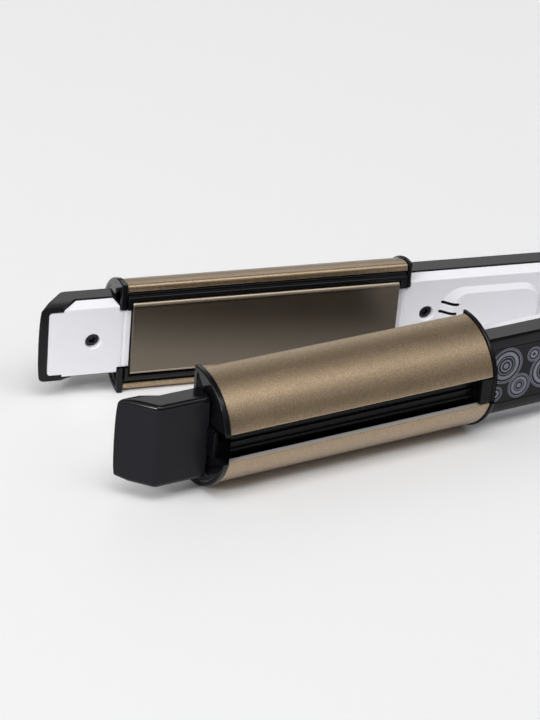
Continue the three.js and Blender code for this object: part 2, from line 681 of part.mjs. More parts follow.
/** Black cap of a tip: bevelled all round, hollow, open towards its inner cover. */
function tipCap() {
	const faceEnd = capStart + CAP_FACE_LENGTH;
	const far = capStart - 2 * CAP_BEVEL;
	const below = INNER_FACE_OUT - 2 * CAP_BEVEL;
	const plan = [
		[far, CAP_FACE_OUT],
		[faceEnd, CAP_FACE_OUT],
		[tipEnd, NOSE_OUT],
		[tipEnd, below],
		[far, below],
	];
	const form = raised(plan, -CAP_HALF_HEIGHT, CAP_HALF_HEIGHT, CAP_BEVEL);
	const high = CAP_HALF_HEIGHT + MARGIN;
	const kept = block([capStart, tipEnd + MARGIN], [INNER_FACE_OUT, CAP_FACE_OUT + MARGIN], [-high, high]);
	const inside = [
		[far, CAP_FACE_OUT - CAP_WALL],
		[faceEnd - CAP_WALL / 2, CAP_FACE_OUT - CAP_WALL],
		[tipFaceEnd - CAP_WALL / 2, NOSE_OUT + CAP_WALL],
		[tipFaceEnd - CAP_WALL / 2, below],
		[far, below],
	];
	const hollowHalf = TIP_FACE_HALF_HEIGHT - INNER_WALL / 2;
	const shallow = raised(inside, -hollowHalf, hollowHalf);
	const neckHalf = CAP_HALF_HEIGHT - CAP_WALL;
	const neckOut = [TIP_PARTING_OUT, CAP_FACE_OUT - CAP_WALL];
	const neckSpace = block([far, capStart + NECK_LENGTH + GAP], neckOut, [-neckHalf, neckHalf]);
	return without(form.intersect(kept), tipSideSpace(GAP), tipFace(GAP), shallow, neckSpace);
}

/** Channel of a handle's outer cover, open towards its inner cover. */
function handleChannel(from, to) {
	const upper = [
		[PARTING_OUT, HANDLE_HALF_HEIGHT],
		[HANDLE_FACE_OUT - HANDLE_BEVEL_OUT, HANDLE_HALF_HEIGHT],
		[HANDLE_FACE_OUT, HANDLE_HALF_HEIGHT - HANDLE_BEVEL_UP],
	];
	const inside = [
		[PARTING_OUT, COVER_WALL - HANDLE_HALF_HEIGHT],
		[coverInsideOut, COVER_WALL - HANDLE_HALF_HEIGHT],
	];
	return runAlong([...upper, ...mirrored(upper), ...inside, ...mirrored(inside)], from, to);
}

function panelOutline(length, inset) {
	const half = PANEL_WIDTH / 2 - inset;
	return roundedRectangle([panelEnd - length + inset, panelEnd - inset], [-half, half], PANEL_CORNER);
}

/** Recess for the inlay panel. */
function panelRecess(length) {
	return thickened(panelOutline(length, 0), HANDLE_FACE_OUT - PANEL_RECESS, HANDLE_FACE_OUT + MARGIN);
}

function inlayPanel(length) {
	const back = HANDLE_FACE_OUT - PANEL_RECESS + GAP / 3;
	return thickened(panelOutline(length, GAP / 2), back, back + PANEL_WALL);
}

/** Space round the drum of the hinge between two heights, with the thin start of the horns cut off. */
function drumSpace(from, to) {
	const round = rod(drumClear, from, to, UP, FINE_STEPS);
	const wide = drumClear + MARGIN;
	return round.add(block([-wide, HORN_START], [-wide, wide], [from, to]));
}

/** Tail of the fixed arm: a flat neck between the ears, then a barrel with a cup for the swivel. */
function tail() {
	const neckOut = [-TAIL_HALF_WIDTH, TAIL_HALF_WIDTH];
	const neckHeight = [-TAIL_NECK_HALF_HEIGHT, TAIL_NECK_HALF_HEIGHT];
	const neck = block([-TAIL_START - MARGIN, 0], neckOut, neckHeight);
	const barrel = rod(TAIL_HALF_WIDTH, -tailEnd, -TAIL_START, ALONG, FINE_STEPS);
	const cup = rod(cupRadius, -tailEnd - MARGIN, -tailEnd + TAIL_CUP_DEPTH, ALONG, FINE_STEPS);
	return neck.add(barrel).subtract(cup);
}

const controls = [
	{ name: 'power_button', reach: POWER_REACH, radius: POWER_RADIUS },
	{ name: 'cooler_button', reach: coolerReach, radius: STEP_BUTTON_RADIUS },
	{ name: 'warmer_button', reach: warmerReach, radius: STEP_BUTTON_RADIUS },
];

/** Places of the posts that carry the circuit board. */
function postPlaces() {
	const along = [boardStart + POST_INSET, boardStart + BOARD_LENGTH - POST_INSET];
	const up = BOARD_WIDTH / 2 - POST_INSET;
	return along.flatMap((a) => BOTH_SIDES.map((side) => [a, 0, side * up]));
}

/** Black outer cover of the fixed arm, with the middle knuckle and the tail. */
function fixedOuterCover() {
	const high = HANDLE_HALF_HEIGHT + MARGIN;
	const channel = without(
		handleChannel(0, handleEnd),
		drumSpace(KNUCKLE_HALF_HEIGHT, high),
		drumSpace(-high, -KNUCKLE_HALF_HEIGHT),
	);
	const knuckle = rod(drumRadius, -KNUCKLE_HALF_HEIGHT, KNUCKLE_HALF_HEIGHT, UP, FINE_STEPS);
	const postSpan = [boardFaceOut + GAP, coverInsideOut + MARGIN / 2];
	const posts = postPlaces().map((place) => rodAt(POST_RADIUS, ...postSpan, OUT, place, SMALL_STEPS));
	const body = joined(channel, knuckle, tail(), ...posts);
	const pocket = rod(SPRING_POCKET_RADIUS, SPRING_POCKET_FLOOR, high, UP);
	const pinHole = rod(PIN_RADIUS + PIN_GAP, -high, high, UP, ROUND_STEPS);
	const leadSpan = [-tailEnd + TAIL_CUP_DEPTH - MARGIN, drumClear];
	const leadHole = rodAt(SUPPLY_RADIUS + RUN_GAP, ...leadSpan, ALONG, [0, SUPPLY_OUT, 0], SMALL_STEPS);
	const through = [coverInsideOut - MARGIN / 2, HANDLE_FACE_OUT + MARGIN];
	const holes = controls.map(({ reach, radius }) => {
		return rodAt(radius + GAP, ...through, OUT, [reach, 0, 0]);
	});
	const lensHole = rodAt(LENS_RADIUS + GAP, ...through, OUT, [lensReach, 0, 0], SMALL_STEPS);
	const lockAlong = [LOCK_START - RUN_GAP, LOCK_START + LOCK_LEG + LOCK_TRAVEL + RUN_GAP];
	const lockOut = [LOCK_STEM_OUT - RUN_GAP, LOCK_STEM_OUT + LOCK_STEM_WALL + RUN_GAP];
	const lockSlot = block(lockAlong, lockOut, [LOCK_UP, high]);
	const recess = panelRecess(panelLengthFixed);
	return without(body, pocket, pinHole, leadHole, ...holes, lensHole, lockSlot, recess);
}

/** Black outer cover of the moving arm, with the two ears of the hinge. */
function movingOuterCover() {
	const channel = handleChannel(0, handleEnd).subtract(drumSpace(-earStart, earStart));
	const ears = [
		rod(drumRadius, earStart, HANDLE_HALF_HEIGHT, UP, FINE_STEPS),
		rod(drumRadius, -HANDLE_HALF_HEIGHT, -earStart, UP, FINE_STEPS),
	];
	const high = HANDLE_HALF_HEIGHT + MARGIN;
	const pinHole = rod(PIN_RADIUS + PIN_GAP, -high, high, UP, ROUND_STEPS);
	return without(joined(channel, ...ears), pinHole, panelRecess(PANEL_LENGTH_MOVING));
}

/** Cap of the hinge: as high as the barrel, so that the iron lies level. */
function hingeCap(side) {
	const near = HANDLE_HALF_HEIGHT + GAP;
	const profile = [
		[0, pinHalf + GAP],
		[PIN_RADIUS + GAP, pinHalf + GAP],
		[PIN_RADIUS + GAP, near],
		[HINGE_CAP_RADIUS, near],
		[HINGE_CAP_RADIUS, restHeight - HINGE_CAP_BEVEL],
		[HINGE_CAP_RADIUS - HINGE_CAP_BEVEL, restHeight],
		[0, restHeight],
	];
	return turned(profile.map(([radius, up]) => [radius, side * up]), UP, FINE_STEPS);
}

/** Torsion spring on the pin, one unbroken coil. */
function torsionSpring() {
	const floor = SPRING_POCKET_FLOOR + GAP + SPRING_WIRE_RADIUS;
	const top = KNUCKLE_HALF_HEIGHT - GAP - SPRING_WIRE_RADIUS;
	class Helix extends THREE.Curve {
		getPoint(t, target = new THREE.Vector3()) {
			const angle = 2 * Math.PI * SPRING_TURNS * t;
			const along = SPRING_RADIUS * Math.cos(angle);
			const out = SPRING_RADIUS * Math.sin(angle);
			return target.set(along, out, floor + (top - floor) * t);
		}
	}
	const section = shapeOf(arc([0, 0], SPRING_WIRE_RADIUS, 0, 2 * Math.PI, 6).slice(0, -1));
	const steps = SPRING_TURNS * SPRING_STEPS_PER_TURN;
	const options = { steps, extrudePath: new Helix(), bevelEnabled: false };
	return solidOf(new THREE.ExtrudeGeometry(section, options));
}

/** Swivel that the cord enters: a flange held in the cup, a shank and a bore right through. */
function cordSwivel() {
	const flangeStart = -tailEnd + TAIL_CUP_DEPTH - GAP;
	const flangeEnd = flangeStart - SWIVEL_FLANGE_WALL;
	const end = -tailEnd - GAP - COLLAR_RIM - SWIVEL_PROUD;
	const flange = cupRadius - GAP;
	const profile = [
		[SWIVEL_BORE, flangeStart],
		[flange, flangeStart],
		[flange, flangeEnd],
		[SWIVEL_RADIUS, flangeEnd],
		[SWIVEL_RADIUS, end],
		[SWIVEL_BORE, end],
		[SWIVEL_BORE, flangeStart],
	];
	return turned(profile, ALONG, FINE_STEPS);
}

/** Collar that closes the cup round the swivel. */
function swivelCollar() {
	const inside = -tailEnd + TAIL_CUP_DEPTH - 2 * GAP - SWIVEL_FLANGE_WALL;
	const seat = -tailEnd - GAP;
	const bore = SWIVEL_RADIUS + GAP;
	const profile = [
		[bore, inside],
		[cupRadius - GAP, inside],
		[cupRadius - GAP, seat],
		[TAIL_HALF_WIDTH, seat],
		[TAIL_HALF_WIDTH, seat - COLLAR_RIM],
		[bore, seat - COLLAR_RIM],
		[bore, inside],
	];
	return turned(profile, ALONG, FINE_STEPS);
}

/** Push button: cap in its hole, flange behind the wall and a stem over its switch. */
function pushButton(radius) {
	const top = HANDLE_FACE_OUT + BUTTON_PROUD;
	const flangeFront = coverInsideOut - GAP;
	const flangeBack = flangeFront - BUTTON_FLANGE_WALL;
	const stemEnd = switchFaceOut + BUTTON_TRAVEL + GAP;
	const profile = [
		[0, top],
		[radius - BUTTON_EDGE, top],
		[radius, top - BUTTON_EDGE],
		[radius, flangeFront],
		[radius + BUTTON_FLANGE, flangeFront],
		[radius + BUTTON_FLANGE, flangeBack],
		[BUTTON_STEM_RADIUS, flangeBack],
		[BUTTON_STEM_RADIUS, stemEnd],
		[0, stemEnd],
	];
	return turned(profile, OUT, ROUND_STEPS);
}

/** Lens of the indicator lamp. */
function indicatorLens() {
	const flangeFront = coverInsideOut - GAP;
	const profile = [
		[0, HANDLE_FACE_OUT + LENS_PROUD],
		[LENS_RADIUS, HANDLE_FACE_OUT],
		[LENS_RADIUS, flangeFront],
		[LENS_RADIUS + BUTTON_FLANGE, flangeFront],
		[LENS_RADIUS + BUTTON_FLANGE, switchFaceOut + GAP],
		[0, switchFaceOut + GAP],
	];
	return turned(profile, OUT, SMALL_STEPS);
}

/** Circuit board with one switch under each button and the lamp under its lens. */
function circuitBoard() {
	const height = [-BOARD_WIDTH / 2, BOARD_WIDTH / 2];
	const board = block([boardStart, boardStart + BOARD_LENGTH], [BOARD_OUT, boardFaceOut], height);
	const parts = [...controls.map(({ reach }) => reach), lensReach].map((reach) => {
		const half = SWITCH_SIZE / 2;
		return block([reach - half, reach + half], [BOARD_OUT, switchFaceOut], [-half, half]);
	});
	return joined(board, ...parts);
}

/** Lock slider: knob on the handle, stem through the wall, and a hook for the other arm's cover. */
function lockSlider() {
	const legEnd = LOCK_START + LOCK_LEG;
	const knobMiddle = (LOCK_START + legEnd) / 2;
	const knobAlong = [knobMiddle - LOCK_KNOB_LENGTH / 2, knobMiddle + LOCK_KNOB_LENGTH / 2];
	const stemBack = LOCK_STEM_OUT + LOCK_STEM_WALL;
	const knobAxis = (LOCK_STEM_OUT + stemBack) / 2;
	const knobOut = [knobAxis - LOCK_KNOB_WIDTH / 2, knobAxis + LOCK_KNOB_WIDTH / 2];
	const knobLow = HANDLE_HALF_HEIGHT + GAP;
	const toeOut = -(INNER_FACE_OUT + INNER_WALL + RUN_GAP);
	const toeEnd = toeOut - LOCK_TOE_WALL;
	const height = [LOCK_UP, LOCK_UP + LOCK_HEIGHT];
	const knob = block(knobAlong, knobOut, [knobLow, knobLow + LOCK_KNOB_HEIGHT]);
	const stem = block([LOCK_START, legEnd], [LOCK_STEM_OUT, stemBack], [LOCK_UP, knobLow + MARGIN]);
	const leg = block([LOCK_START, legEnd], [toeEnd, stemBack], height);
	const toe = block([LOCK_START, legEnd + LOCK_TOE], [toeEnd, toeOut], height);
	return joined(knob, stem, leg, toe);
}

/** Screw with a hexagon socket, drawn with the top of its head at the origin. */
function screw() {
	const profile = [
		[0, 0],
		[SCREW_HEAD_RADIUS, 0],
		[SCREW_HEAD_RADIUS, SCREW_HEAD_HEIGHT],
		[SCREW_RADIUS, SCREW_HEAD_HEIGHT],
		[SCREW_RADIUS, SCREW_LENGTH],
		[0, SCREW_LENGTH],
	];
	const socket = rod(SCREW_SOCKET_RADIUS, -MARGIN, SCREW_SOCKET_DEPTH, OUT, 6);
	return turned(profile, OUT, SMALL_STEPS).subtract(socket);
}

/** Lead of the heater, from inside the handle over the tongue to the end of the heater. */
function heaterLead(from) {
	const end = PLATE_REACH + HEATER_INSET - GAP;
	const level = [(from + handleEnd) / 2, handleEnd, end].map((along) => [along, LEAD_OUT, LEAD_UP]);
	return leadThrough([[from, LEAD_OUT + MARGIN, LEAD_UP], ...level], LEAD_RADIUS);
}

/** Supply lead, from the cup of the swivel past the hinge pin to the circuit board. */
function supplyLead() {
	const start = -tailEnd + TAIL_CUP_DEPTH + GAP;
	const level = [start, 0, innerCoverStart + COVER_WALL].map((along) => [along, SUPPLY_OUT, 0]);
	return leadThrough([...level, [boardStart - GAP, BOARD_OUT + BOARD_WALL / 2, 0]], SUPPLY_RADIUS);
}

/** Adds a solid of arm space to a group as a named mesh; side is 1 on the fixed arm, else -1. */
function addPiece(group, side, name, solid, material, [along, out, up] = [0, 0, 0]) {
	const { vertProperties, triVerts } = solid.getMesh();
	const points = Float32Array.from(vertProperties);
	for (let i = 0; i < points.length; i += 3) {
		points[i] *= -1;
		points[i + 1] *= side;
	}
	const triangles = side > 0 ? Array.from(triVerts).reverse() : Array.from(triVerts);
	const geometry = new THREE.BufferGeometry();
	geometry.setAttribute('position', new THREE.BufferAttribute(points, 3));
	geometry.setIndex(triangles);
	geometry.computeVertexNormals();
	const mesh = new THREE.Mesh(geometry, material);
	mesh.name = name;
	mesh.position.set(-along, side * out, up);
	group.add(mesh);
}

/** The pieces that both arms have. */
function addArm(group, side, arm, panelLength, leadStart) {
	const add = (name, ...piece) => addPiece(group, side, `${arm}_${name}`, ...piece);
	const section = shellSection();
	add('upper_shell', runAlong(section, shellStart, shellEnd), FINISH.shell);
	add('lower_shell', runAlong(mirrored(section), shellStart, shellEnd), FINISH.shell);
	add('rear_disc', endDisc(rearDiscStart, rearDiscEnd, true), FINISH.blackGloss);
	add('tip_disc', endDisc(tipDiscStart, tipDiscEnd, false), FINISH.blackGloss);
	add('plate_carrier', plateCarrier(), FINISH.blackGloss);
	add('heating_plate', heatingPlate(), FINISH.plate);
	add('heater', heater(), FINISH.ceramic);
	add('plate_cushion', cushion(), FINISH.silicone);
	add('thermal_fuse', thermalFuse(), FINISH.ceramic);
	add('heater_lead', heaterLead(leadStart), FINISH.lead);
	add('spine', spine(), FINISH.blackMatte);
	add('handle_inner_cover', handleInnerCover(side < 0), FINISH.white);
	add('tip_inner_cover', tipInnerCover(), FINISH.white);
	add('tip_cap', tipCap(), FINISH.blackGloss);
	add('inlay_panel', inlayPanel(panelLength), FINISH.inlay);
	add('handle_screw', screw(), FINISH.screw, [handleScrewReach, screwHeadOut, 0]);
	add('tip_screw', screw(), FINISH.screw, [tipScrewReach, screwHeadOut, 0]);
}

/** What only the fixed arm carries: hinge parts, tail, controls and lock. */
function addFixedPieces(group) {
	const add = (...piece) => addPiece(group, 1, ...piece);
	add('fixed_outer_cover', fixedOuterCover(), FINISH.blackGloss);
	add('hinge_pin', rod(PIN_RADIUS, -pinHalf, pinHalf, UP, ROUND_STEPS), FINISH.steel);
	add('hinge_cap_upper', hingeCap(1), FINISH.blackGloss);
	add('hinge_cap_lower', hingeCap(-1), FINISH.blackGloss);
	add('torsion_spring', torsionSpring(), FINISH.steel);
	add('cord_swivel', cordSwivel(), FINISH.blackMatte);
	add('swivel_collar', swivelCollar(), FINISH.blackGloss);
	add('supply_lead', supplyLead(), FINISH.lead);
	add('circuit_board', circuitBoard(), FINISH.board);
	controls.forEach(({ name, radius, reach }) => {
		add(name, pushButton(radius), FINISH.blackMatte, [reach, 0, 0]);
	});
	add('indicator_lens', indicatorLens(), FINISH.lens, [lensReach, 0, 0]);
	add('lock_slider', lockSlider(), FINISH.blackMatte);
}

const straightener = new THREE.Group();
straightener.position.z = restHeight;

const fixedArm = new THREE.Group();
addArm(fixedArm, 1, 'fixed', panelLengthFixed, boardStart + BOARD_LENGTH + GAP);
addFixedPieces(fixedArm);
straightener.add(fixedArm);

const movingArm = new THREE.Group();
movingArm.rotation.z = THREE.MathUtils.degToRad(OPEN_ANGLE);
addArm(movingArm, -1, 'moving', PANEL_LENGTH_MOVING, innerCoverStart + INNER_WALL + GAP);
addPiece(movingArm, -1, 'moving_outer_cover', movingOuterCover(), FINISH.blackGloss);
straightener.add(movingArm);

export default straightener;
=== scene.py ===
"""Looks of a hair straightener with a curling barrel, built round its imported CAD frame.

Each arm is drawn in arm space, in millimetres: along runs from the hinge pin towards the tip, out runs
away from the plane in which the arms meet, and up from the arm's middle height. A Blank is a closed
form in arm space. When it is fitted to an arm it becomes a Blender object in metres.

A tool that cuts a form runs past it by PAST. A face counts as a side of a form when less of its normal
than SIDEWAYS points outwards.
"""
import logging
import math
from collections.abc import Callable, Sequence
from dataclasses import dataclass
from enum import Enum

import bmesh
import bpy
from mathutils import Matrix, Vector


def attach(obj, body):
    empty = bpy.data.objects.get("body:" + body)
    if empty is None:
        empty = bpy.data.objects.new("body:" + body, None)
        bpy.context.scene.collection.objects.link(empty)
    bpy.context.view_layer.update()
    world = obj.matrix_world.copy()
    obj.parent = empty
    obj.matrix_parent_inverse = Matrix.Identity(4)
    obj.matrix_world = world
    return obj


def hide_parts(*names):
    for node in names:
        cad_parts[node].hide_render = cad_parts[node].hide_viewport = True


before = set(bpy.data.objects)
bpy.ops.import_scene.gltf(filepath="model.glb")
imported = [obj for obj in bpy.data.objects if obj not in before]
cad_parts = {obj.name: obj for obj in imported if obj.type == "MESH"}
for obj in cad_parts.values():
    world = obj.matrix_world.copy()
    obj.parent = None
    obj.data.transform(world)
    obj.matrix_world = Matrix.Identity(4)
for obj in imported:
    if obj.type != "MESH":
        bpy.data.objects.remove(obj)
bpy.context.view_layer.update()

LOG = logging.getLogger("straightener")
MM = 0.001
QUARTER = math.pi / 2
NO_LENGTH = 1e-9
SIDEWAYS = 0.5
PAST = 1.0

Point = tuple[float, float]
Span = tuple[float, float]
Colour = tuple[float, float, float]


# Drawing and solid forms


class Axis(Enum):
    """Direction in which a flat drawing is given its depth."""

    ALONG = "along"
    OUT = "out"
    UP = "up"

    def point(self, x: float, y: float, depth: float) -> Vector:
        """Turns a place on a drawing into a point of arm space.

        Args:
            x: Place across the drawing.
            y: Place up the drawing.
            depth: Place along this axis.

        Returns:
            The point.
        """
        if self is Axis.ALONG:
            return Vector((depth, x, y))
        if self is Axis.OUT:
            return Vector((x, depth, y))
        return Vector((x, y, depth))


class Operation(Enum):
    """How a second form changes the first."""

    CUT = "DIFFERENCE"
    JOIN = "UNION"
    KEEP = "INTERSECT"


def arc(centre: Point, radius: float, start: float, end: float, steps: int) -> list[Point]:
    """Points of an arc, ends included.

    Args:
        centre: Centre of the arc.
        radius: Its radius.
        start: First angle in radians.
        end: Last angle in radians.
        steps: Number of parts.

    Returns:
        The points in order.
    """
    angles = [start + (end - start) * i / steps for i in range(steps + 1)]
    return [(centre[0] + radius * math.cos(a), centre[1] + radius * math.sin(a)) for a in angles]


def rectangle(width: Span, height: Span) -> list[Point]:
    """Corners of a rectangle, turning left."""
    return [(width[0], height[0]), (width[1], height[0]), (width[1], height[1]), (width[0], height[1])]


def about(half: float) -> Span:
    """Span evenly about the middle."""
    return -half, half


def widened(span: Span) -> Span:
    """Span of a tool that runs past a form's span at both ends."""
    return span[0] - PAST, span[1] + PAST


def doubled(upper: Sequence[Point]) -> list[Point]:
    """Outline of a section from its upper half, mirrored downwards."""
    return [*upper, *((x, -y) for x, y in reversed(upper))]


def turning(points: Sequence[Point]) -> float:
    """1 for an outline that turns left, -1 for one that turns right."""
    pairs = zip(points, [*points[1:], points[0]])
    return 1.0 if sum(a[0] * b[1] - b[0] * a[1] for a, b in pairs) > 0 else -1.0


def rounded(corners: Sequence[Point], radii: float | Sequence[float], steps: int,
            inset: float = 0.0) -> list[Point]:
    """Outline with rounded corners, moved inwards without moving the centres of its arcs.

    Args:
        corners: Corners of the outline.
        radii: One radius for all corners, or one for each.
        steps: Number of parts of each rounded corner.
        inset: Distance by which the outline lies inside its drawing.

    Returns:
        Points of the outline, as many for any inset.
    """
    sizes = [radii] * len(corners) if isinstance(radii, (int, float)) else list(radii)
    turn = turning(corners)
    outline: list[Point] = []
    for i, (corner, radius) in enumerate(zip(corners, sizes)):
        here = Vector(corner)
        before = (Vector(corners[i - 1]) - here).normalized()
        after = (Vector(corners[(i + 1) % len(corners)]) - here).normalized()
        middle = (before + after).normalized() if (before + after).length > NO_LENGTH else Vector()
        half = before.angle(after) / 2
        bulges = (before.x * after.y - before.y * after.x) * turn < 0
        if middle.length == 0:
            aside = Vector((-after.y, after.x)) * turn
            outline.append(tuple(here + aside * inset))
            continue
        if radius == 0 or (bulges and inset > radius):
            move = inset / math.sin(half) * (1 if bulges else -1)
            outline.extend([tuple(here + middle * move)] * (1 if radius == 0 else steps + 1))
            continue
        centre = here + middle * (radius / math.sin(half))
        foot = radius / math.tan(half)
        first = (here + before * foot - centre).normalized()
        last = (here + after * foot - centre).normalized()
        size = radius - inset if bulges else radius + inset
        outline.extend(tuple(centre + first.slerp(last, k / steps) * size) for k in range(steps + 1))
    return outline


def edge_profile(depth: Span, radius: float) -> list[Point]:
    """Inset and depth of the rings of a slab whose two ends have rounded edges.

    Args:
        depth: Depth of the first and the last end.
        radius: Radius of the edges.

    Returns:
        Pairs of inset and depth.
    """
    start, end = depth
    if radius == 0:
        return [(0.0, start), (0.0, end)]
    steps = 3
    quarter = [QUARTER * i / steps for i in range(steps + 1)]
    first = [(radius * (1 - math.sin(t)), start + radius * (1 - math.cos(t))) for t in quarter]
    return first + [(inset, start + end - place) for inset, place in reversed(first)]


class Blank:
    """A closed form in arm space, in millimetres, worked on like a piece on a bench.

    Points nearer than a weld count as one: those of a drawn form, of a CAD node and of a cut form.
    """

    drawn_weld: float = 1e-5
    node_weld: float = 1e-3
    cut_weld: float = 2e-3
    flat_node: float = math.radians(1)
    flat_cut: float = math.radians(0.5)

    def __init__(self, mesh: bpy.types.Mesh) -> None:
        """Keeps the mesh of the form."""
        self.mesh = mesh

    @classmethod
    def lofted(cls, rings: Sequence[Sequence[Vector]]) -> "Blank":
        """Form that runs through rings of equally many points.

        Args:
            rings: The rings in order.

        Returns:
            The form.
        """
        work = bmesh.new()
        laid = [[work.verts.new(point) for point in ring] for ring in rings]
        for lower, upper in zip(laid, laid[1:]):
            for k, corner in enumerate(lower):
                following = (k + 1) % len(lower)
                work.faces.new((corner, lower[following], upper[following], upper[k]))
        work.faces.new(laid[0])
        work.faces.new(laid[-1])
        return cls._taken(work)

    @classmethod
    def _taken(cls, work: bmesh.types.BMesh) -> "Blank":
        """Takes a working mesh over, with its faces turned outwards.

        Args:
            work: The working mesh, which is used up.

        Returns:
            The form.
        """
        bmesh.ops.remove_doubles(work, verts=work.verts, dist=cls.drawn_weld)
        bmesh.ops.recalc_face_normals(work, faces=work.faces)
        if work.calc_volume(signed=True) < 0:
            bmesh.ops.reverse_faces(work, faces=work.faces)
        mesh = bpy.data.meshes.new("blank")
        work.to_mesh(mesh)
        work.free()
        return cls(mesh)

    @classmethod
    def slab(cls, corners: Sequence[Point], axis: Axis, depth: Span, radii: float | Sequence[float] = 0.0,
             edge: float = 0.0, profile: Sequence[Point] | None = None, steps: int = 4) -> "Blank":
        """Outline given a depth, with rounded corners and rounded edges.

        Args:
            corners: Outline, drawn across the axis.
            axis: Direction of the depth.
            depth: First and last depth.
            radii: Radii of the corners.
            edge: Radius of the edges of both ends.
            profile: Inset and depth of each ring, in place of rounded edges.
            steps: Number of parts of each rounded corner.

        Returns:
            The form.
        """
        rings = profile or edge_profile(depth, edge)
        return cls.lofted([[axis.point(x, y, place) for x, y in rounded(corners, radii, steps, inset)]
                           for inset, place in rings])

    @classmethod
    def block(cls, along: Span, out: Span, up: Span) -> "Blank":
        """Box between two distances along, outwards and upwards."""
        return cls.slab(rectangle(along, out), Axis.UP, up)

    @classmethod
    def turned(cls, profile: Sequence[Point], reach: float, steps: int) -> "Blank":
        """Form turned on a lathe, with its axis outwards.

        Args:
            profile: Radius and distance outwards of each step, from one end to the other.
            reach: Distance of the axis along the arm.
            steps: Number of parts round.

        Returns:
            The form.
        """
        return cls.lofted([[Axis.OUT.point(x, y, depth)
                            for x, y in arc((reach, 0), radius, 0, 2 * math.pi, steps)[:-1]]
                           for radius, depth in profile])

    @classmethod
    def of_node(cls, arm: "Arm", node: str) -> "Blank":
        """Form of a CAD node, with its flat faces whole again.

        Args:
            arm: Arm in whose space the form is given.
            node: Full name of the node.

        Returns:
            The form.
        """
        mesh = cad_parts[node].data.copy()
        mesh.transform(arm.from_shared())
        work = bmesh.new()
        work.from_mesh(mesh)
        bmesh.ops.remove_doubles(work, verts=work.verts, dist=cls.node_weld)
        bmesh.ops.dissolve_limit(work, angle_limit=cls.flat_node, verts=work.verts, edges=work.edges)
        return cls._taken(work)

    def combined(self, operation: Operation, tools: Sequence["Blank"]) -> "Blank":
        """Works the form with others, one after another.

        Args:
            operation: What each of them does to it.
            tools: The other forms.

        Returns:
            The form itself.
        """
        for tool in tools:
            target = bpy.data.objects.new("target", self.mesh)
            cutter = bpy.data.objects.new("cutter", tool.mesh)
            for thing in (target, cutter):
                bpy.context.scene.collection.objects.link(thing)
            change = target.modifiers.new("change", "BOOLEAN")
            change.operation = operation.value
            change.solver = "EXACT"
            change.object = cutter
            self.mesh = evaluated(target)
            bpy.data.objects.remove(target)
            bpy.data.objects.remove(cutter)
        return self

    def cut(self, *tools: "Blank") -> "Blank":
        """Takes other forms away."""
        return self.combined(Operation.CUT, tools)

    def joined(self, *tools: "Blank") -> "Blank":
        """Adds other forms."""
        return self.combined(Operation.JOIN, tools)

    def kept(self, *tools: "Blank") -> "Blank":
        """Keeps what lies inside other forms."""
        return self.combined(Operation.KEEP, tools)

    def narrowed(self, parting: float, face: float, share: float) -> "Blank":
        """Draws the form in above and below, evenly from one distance outwards to another.

        Args:
            parting: Distance outwards up to which it is drawn in.
            face: Distance outwards at which it is drawn in to the share.
            share: Share of the height left there.

        Returns:
            The form itself.
        """
        outwards, upwards = Axis.OUT.point(0, 0, 1), Axis.UP.point(0, 0, 1)
        work = bmesh.new()
        work.from_mesh(self.mesh)
        bmesh.ops.bisect_plane(work, geom=[*work.verts, *work.edges, *work.faces],
                               plane_co=outwards * parting, plane_no=outwards)
        for corner in work.verts:
            depth = (parting - corner.co.dot(outwards)) / (parting - face)
            if depth > 0:
                corner.co -= upwards * corner.co.dot(upwards) * (1 - share) * depth
        work.to_mesh(self.mesh)
        work.free()
        return self

    def softened(self, width: float, angle: float = 28.0) -> "Blank":
        """Takes the sharp edges off.

        Args:
            width: Width of the rounding.
            angle: Smallest angle in degrees of an edge that counts as sharp.

        Returns:
            The form itself.
        """
        work = bmesh.new()
        work.from_mesh(self.mesh)
        bmesh.ops.remove_doubles(work, verts=work.verts, dist=self.cut_weld)
        bmesh.ops.dissolve_degenerate(work, edges=work.edges, dist=self.cut_weld / 2)
        bmesh.ops.dissolve_limit(work, angle_limit=self.flat_cut, verts=work.verts, edges=work.edges)
        work.to_mesh(self.mesh)
        work.free()
        thing = bpy.data.objects.new("piece", self.mesh)
        bpy.context.scene.collection.objects.link(thing)
        change = thing.modifiers.new("edges", "BEVEL")
        change.width = width
        change.segments = 2
        change.limit_method = "ANGLE"
        change.angle_limit = math.radians(angle)
        change.miter_outer = "MITER_ARC"
        self.mesh = evaluated(thing)
        bpy.data.objects.remove(thing)
        return self


def evaluated(thing: bpy.types.Object) -> bpy.types.Mesh:
    """Mesh of an object with its modifiers worked in."""
    graph = bpy.context.evaluated_depsgraph_get()
    return bpy.data.meshes.new_from_object(thing.evaluated_get(graph))


# Finishes

NOISE_SPAN: Span = (0.3, 0.7)


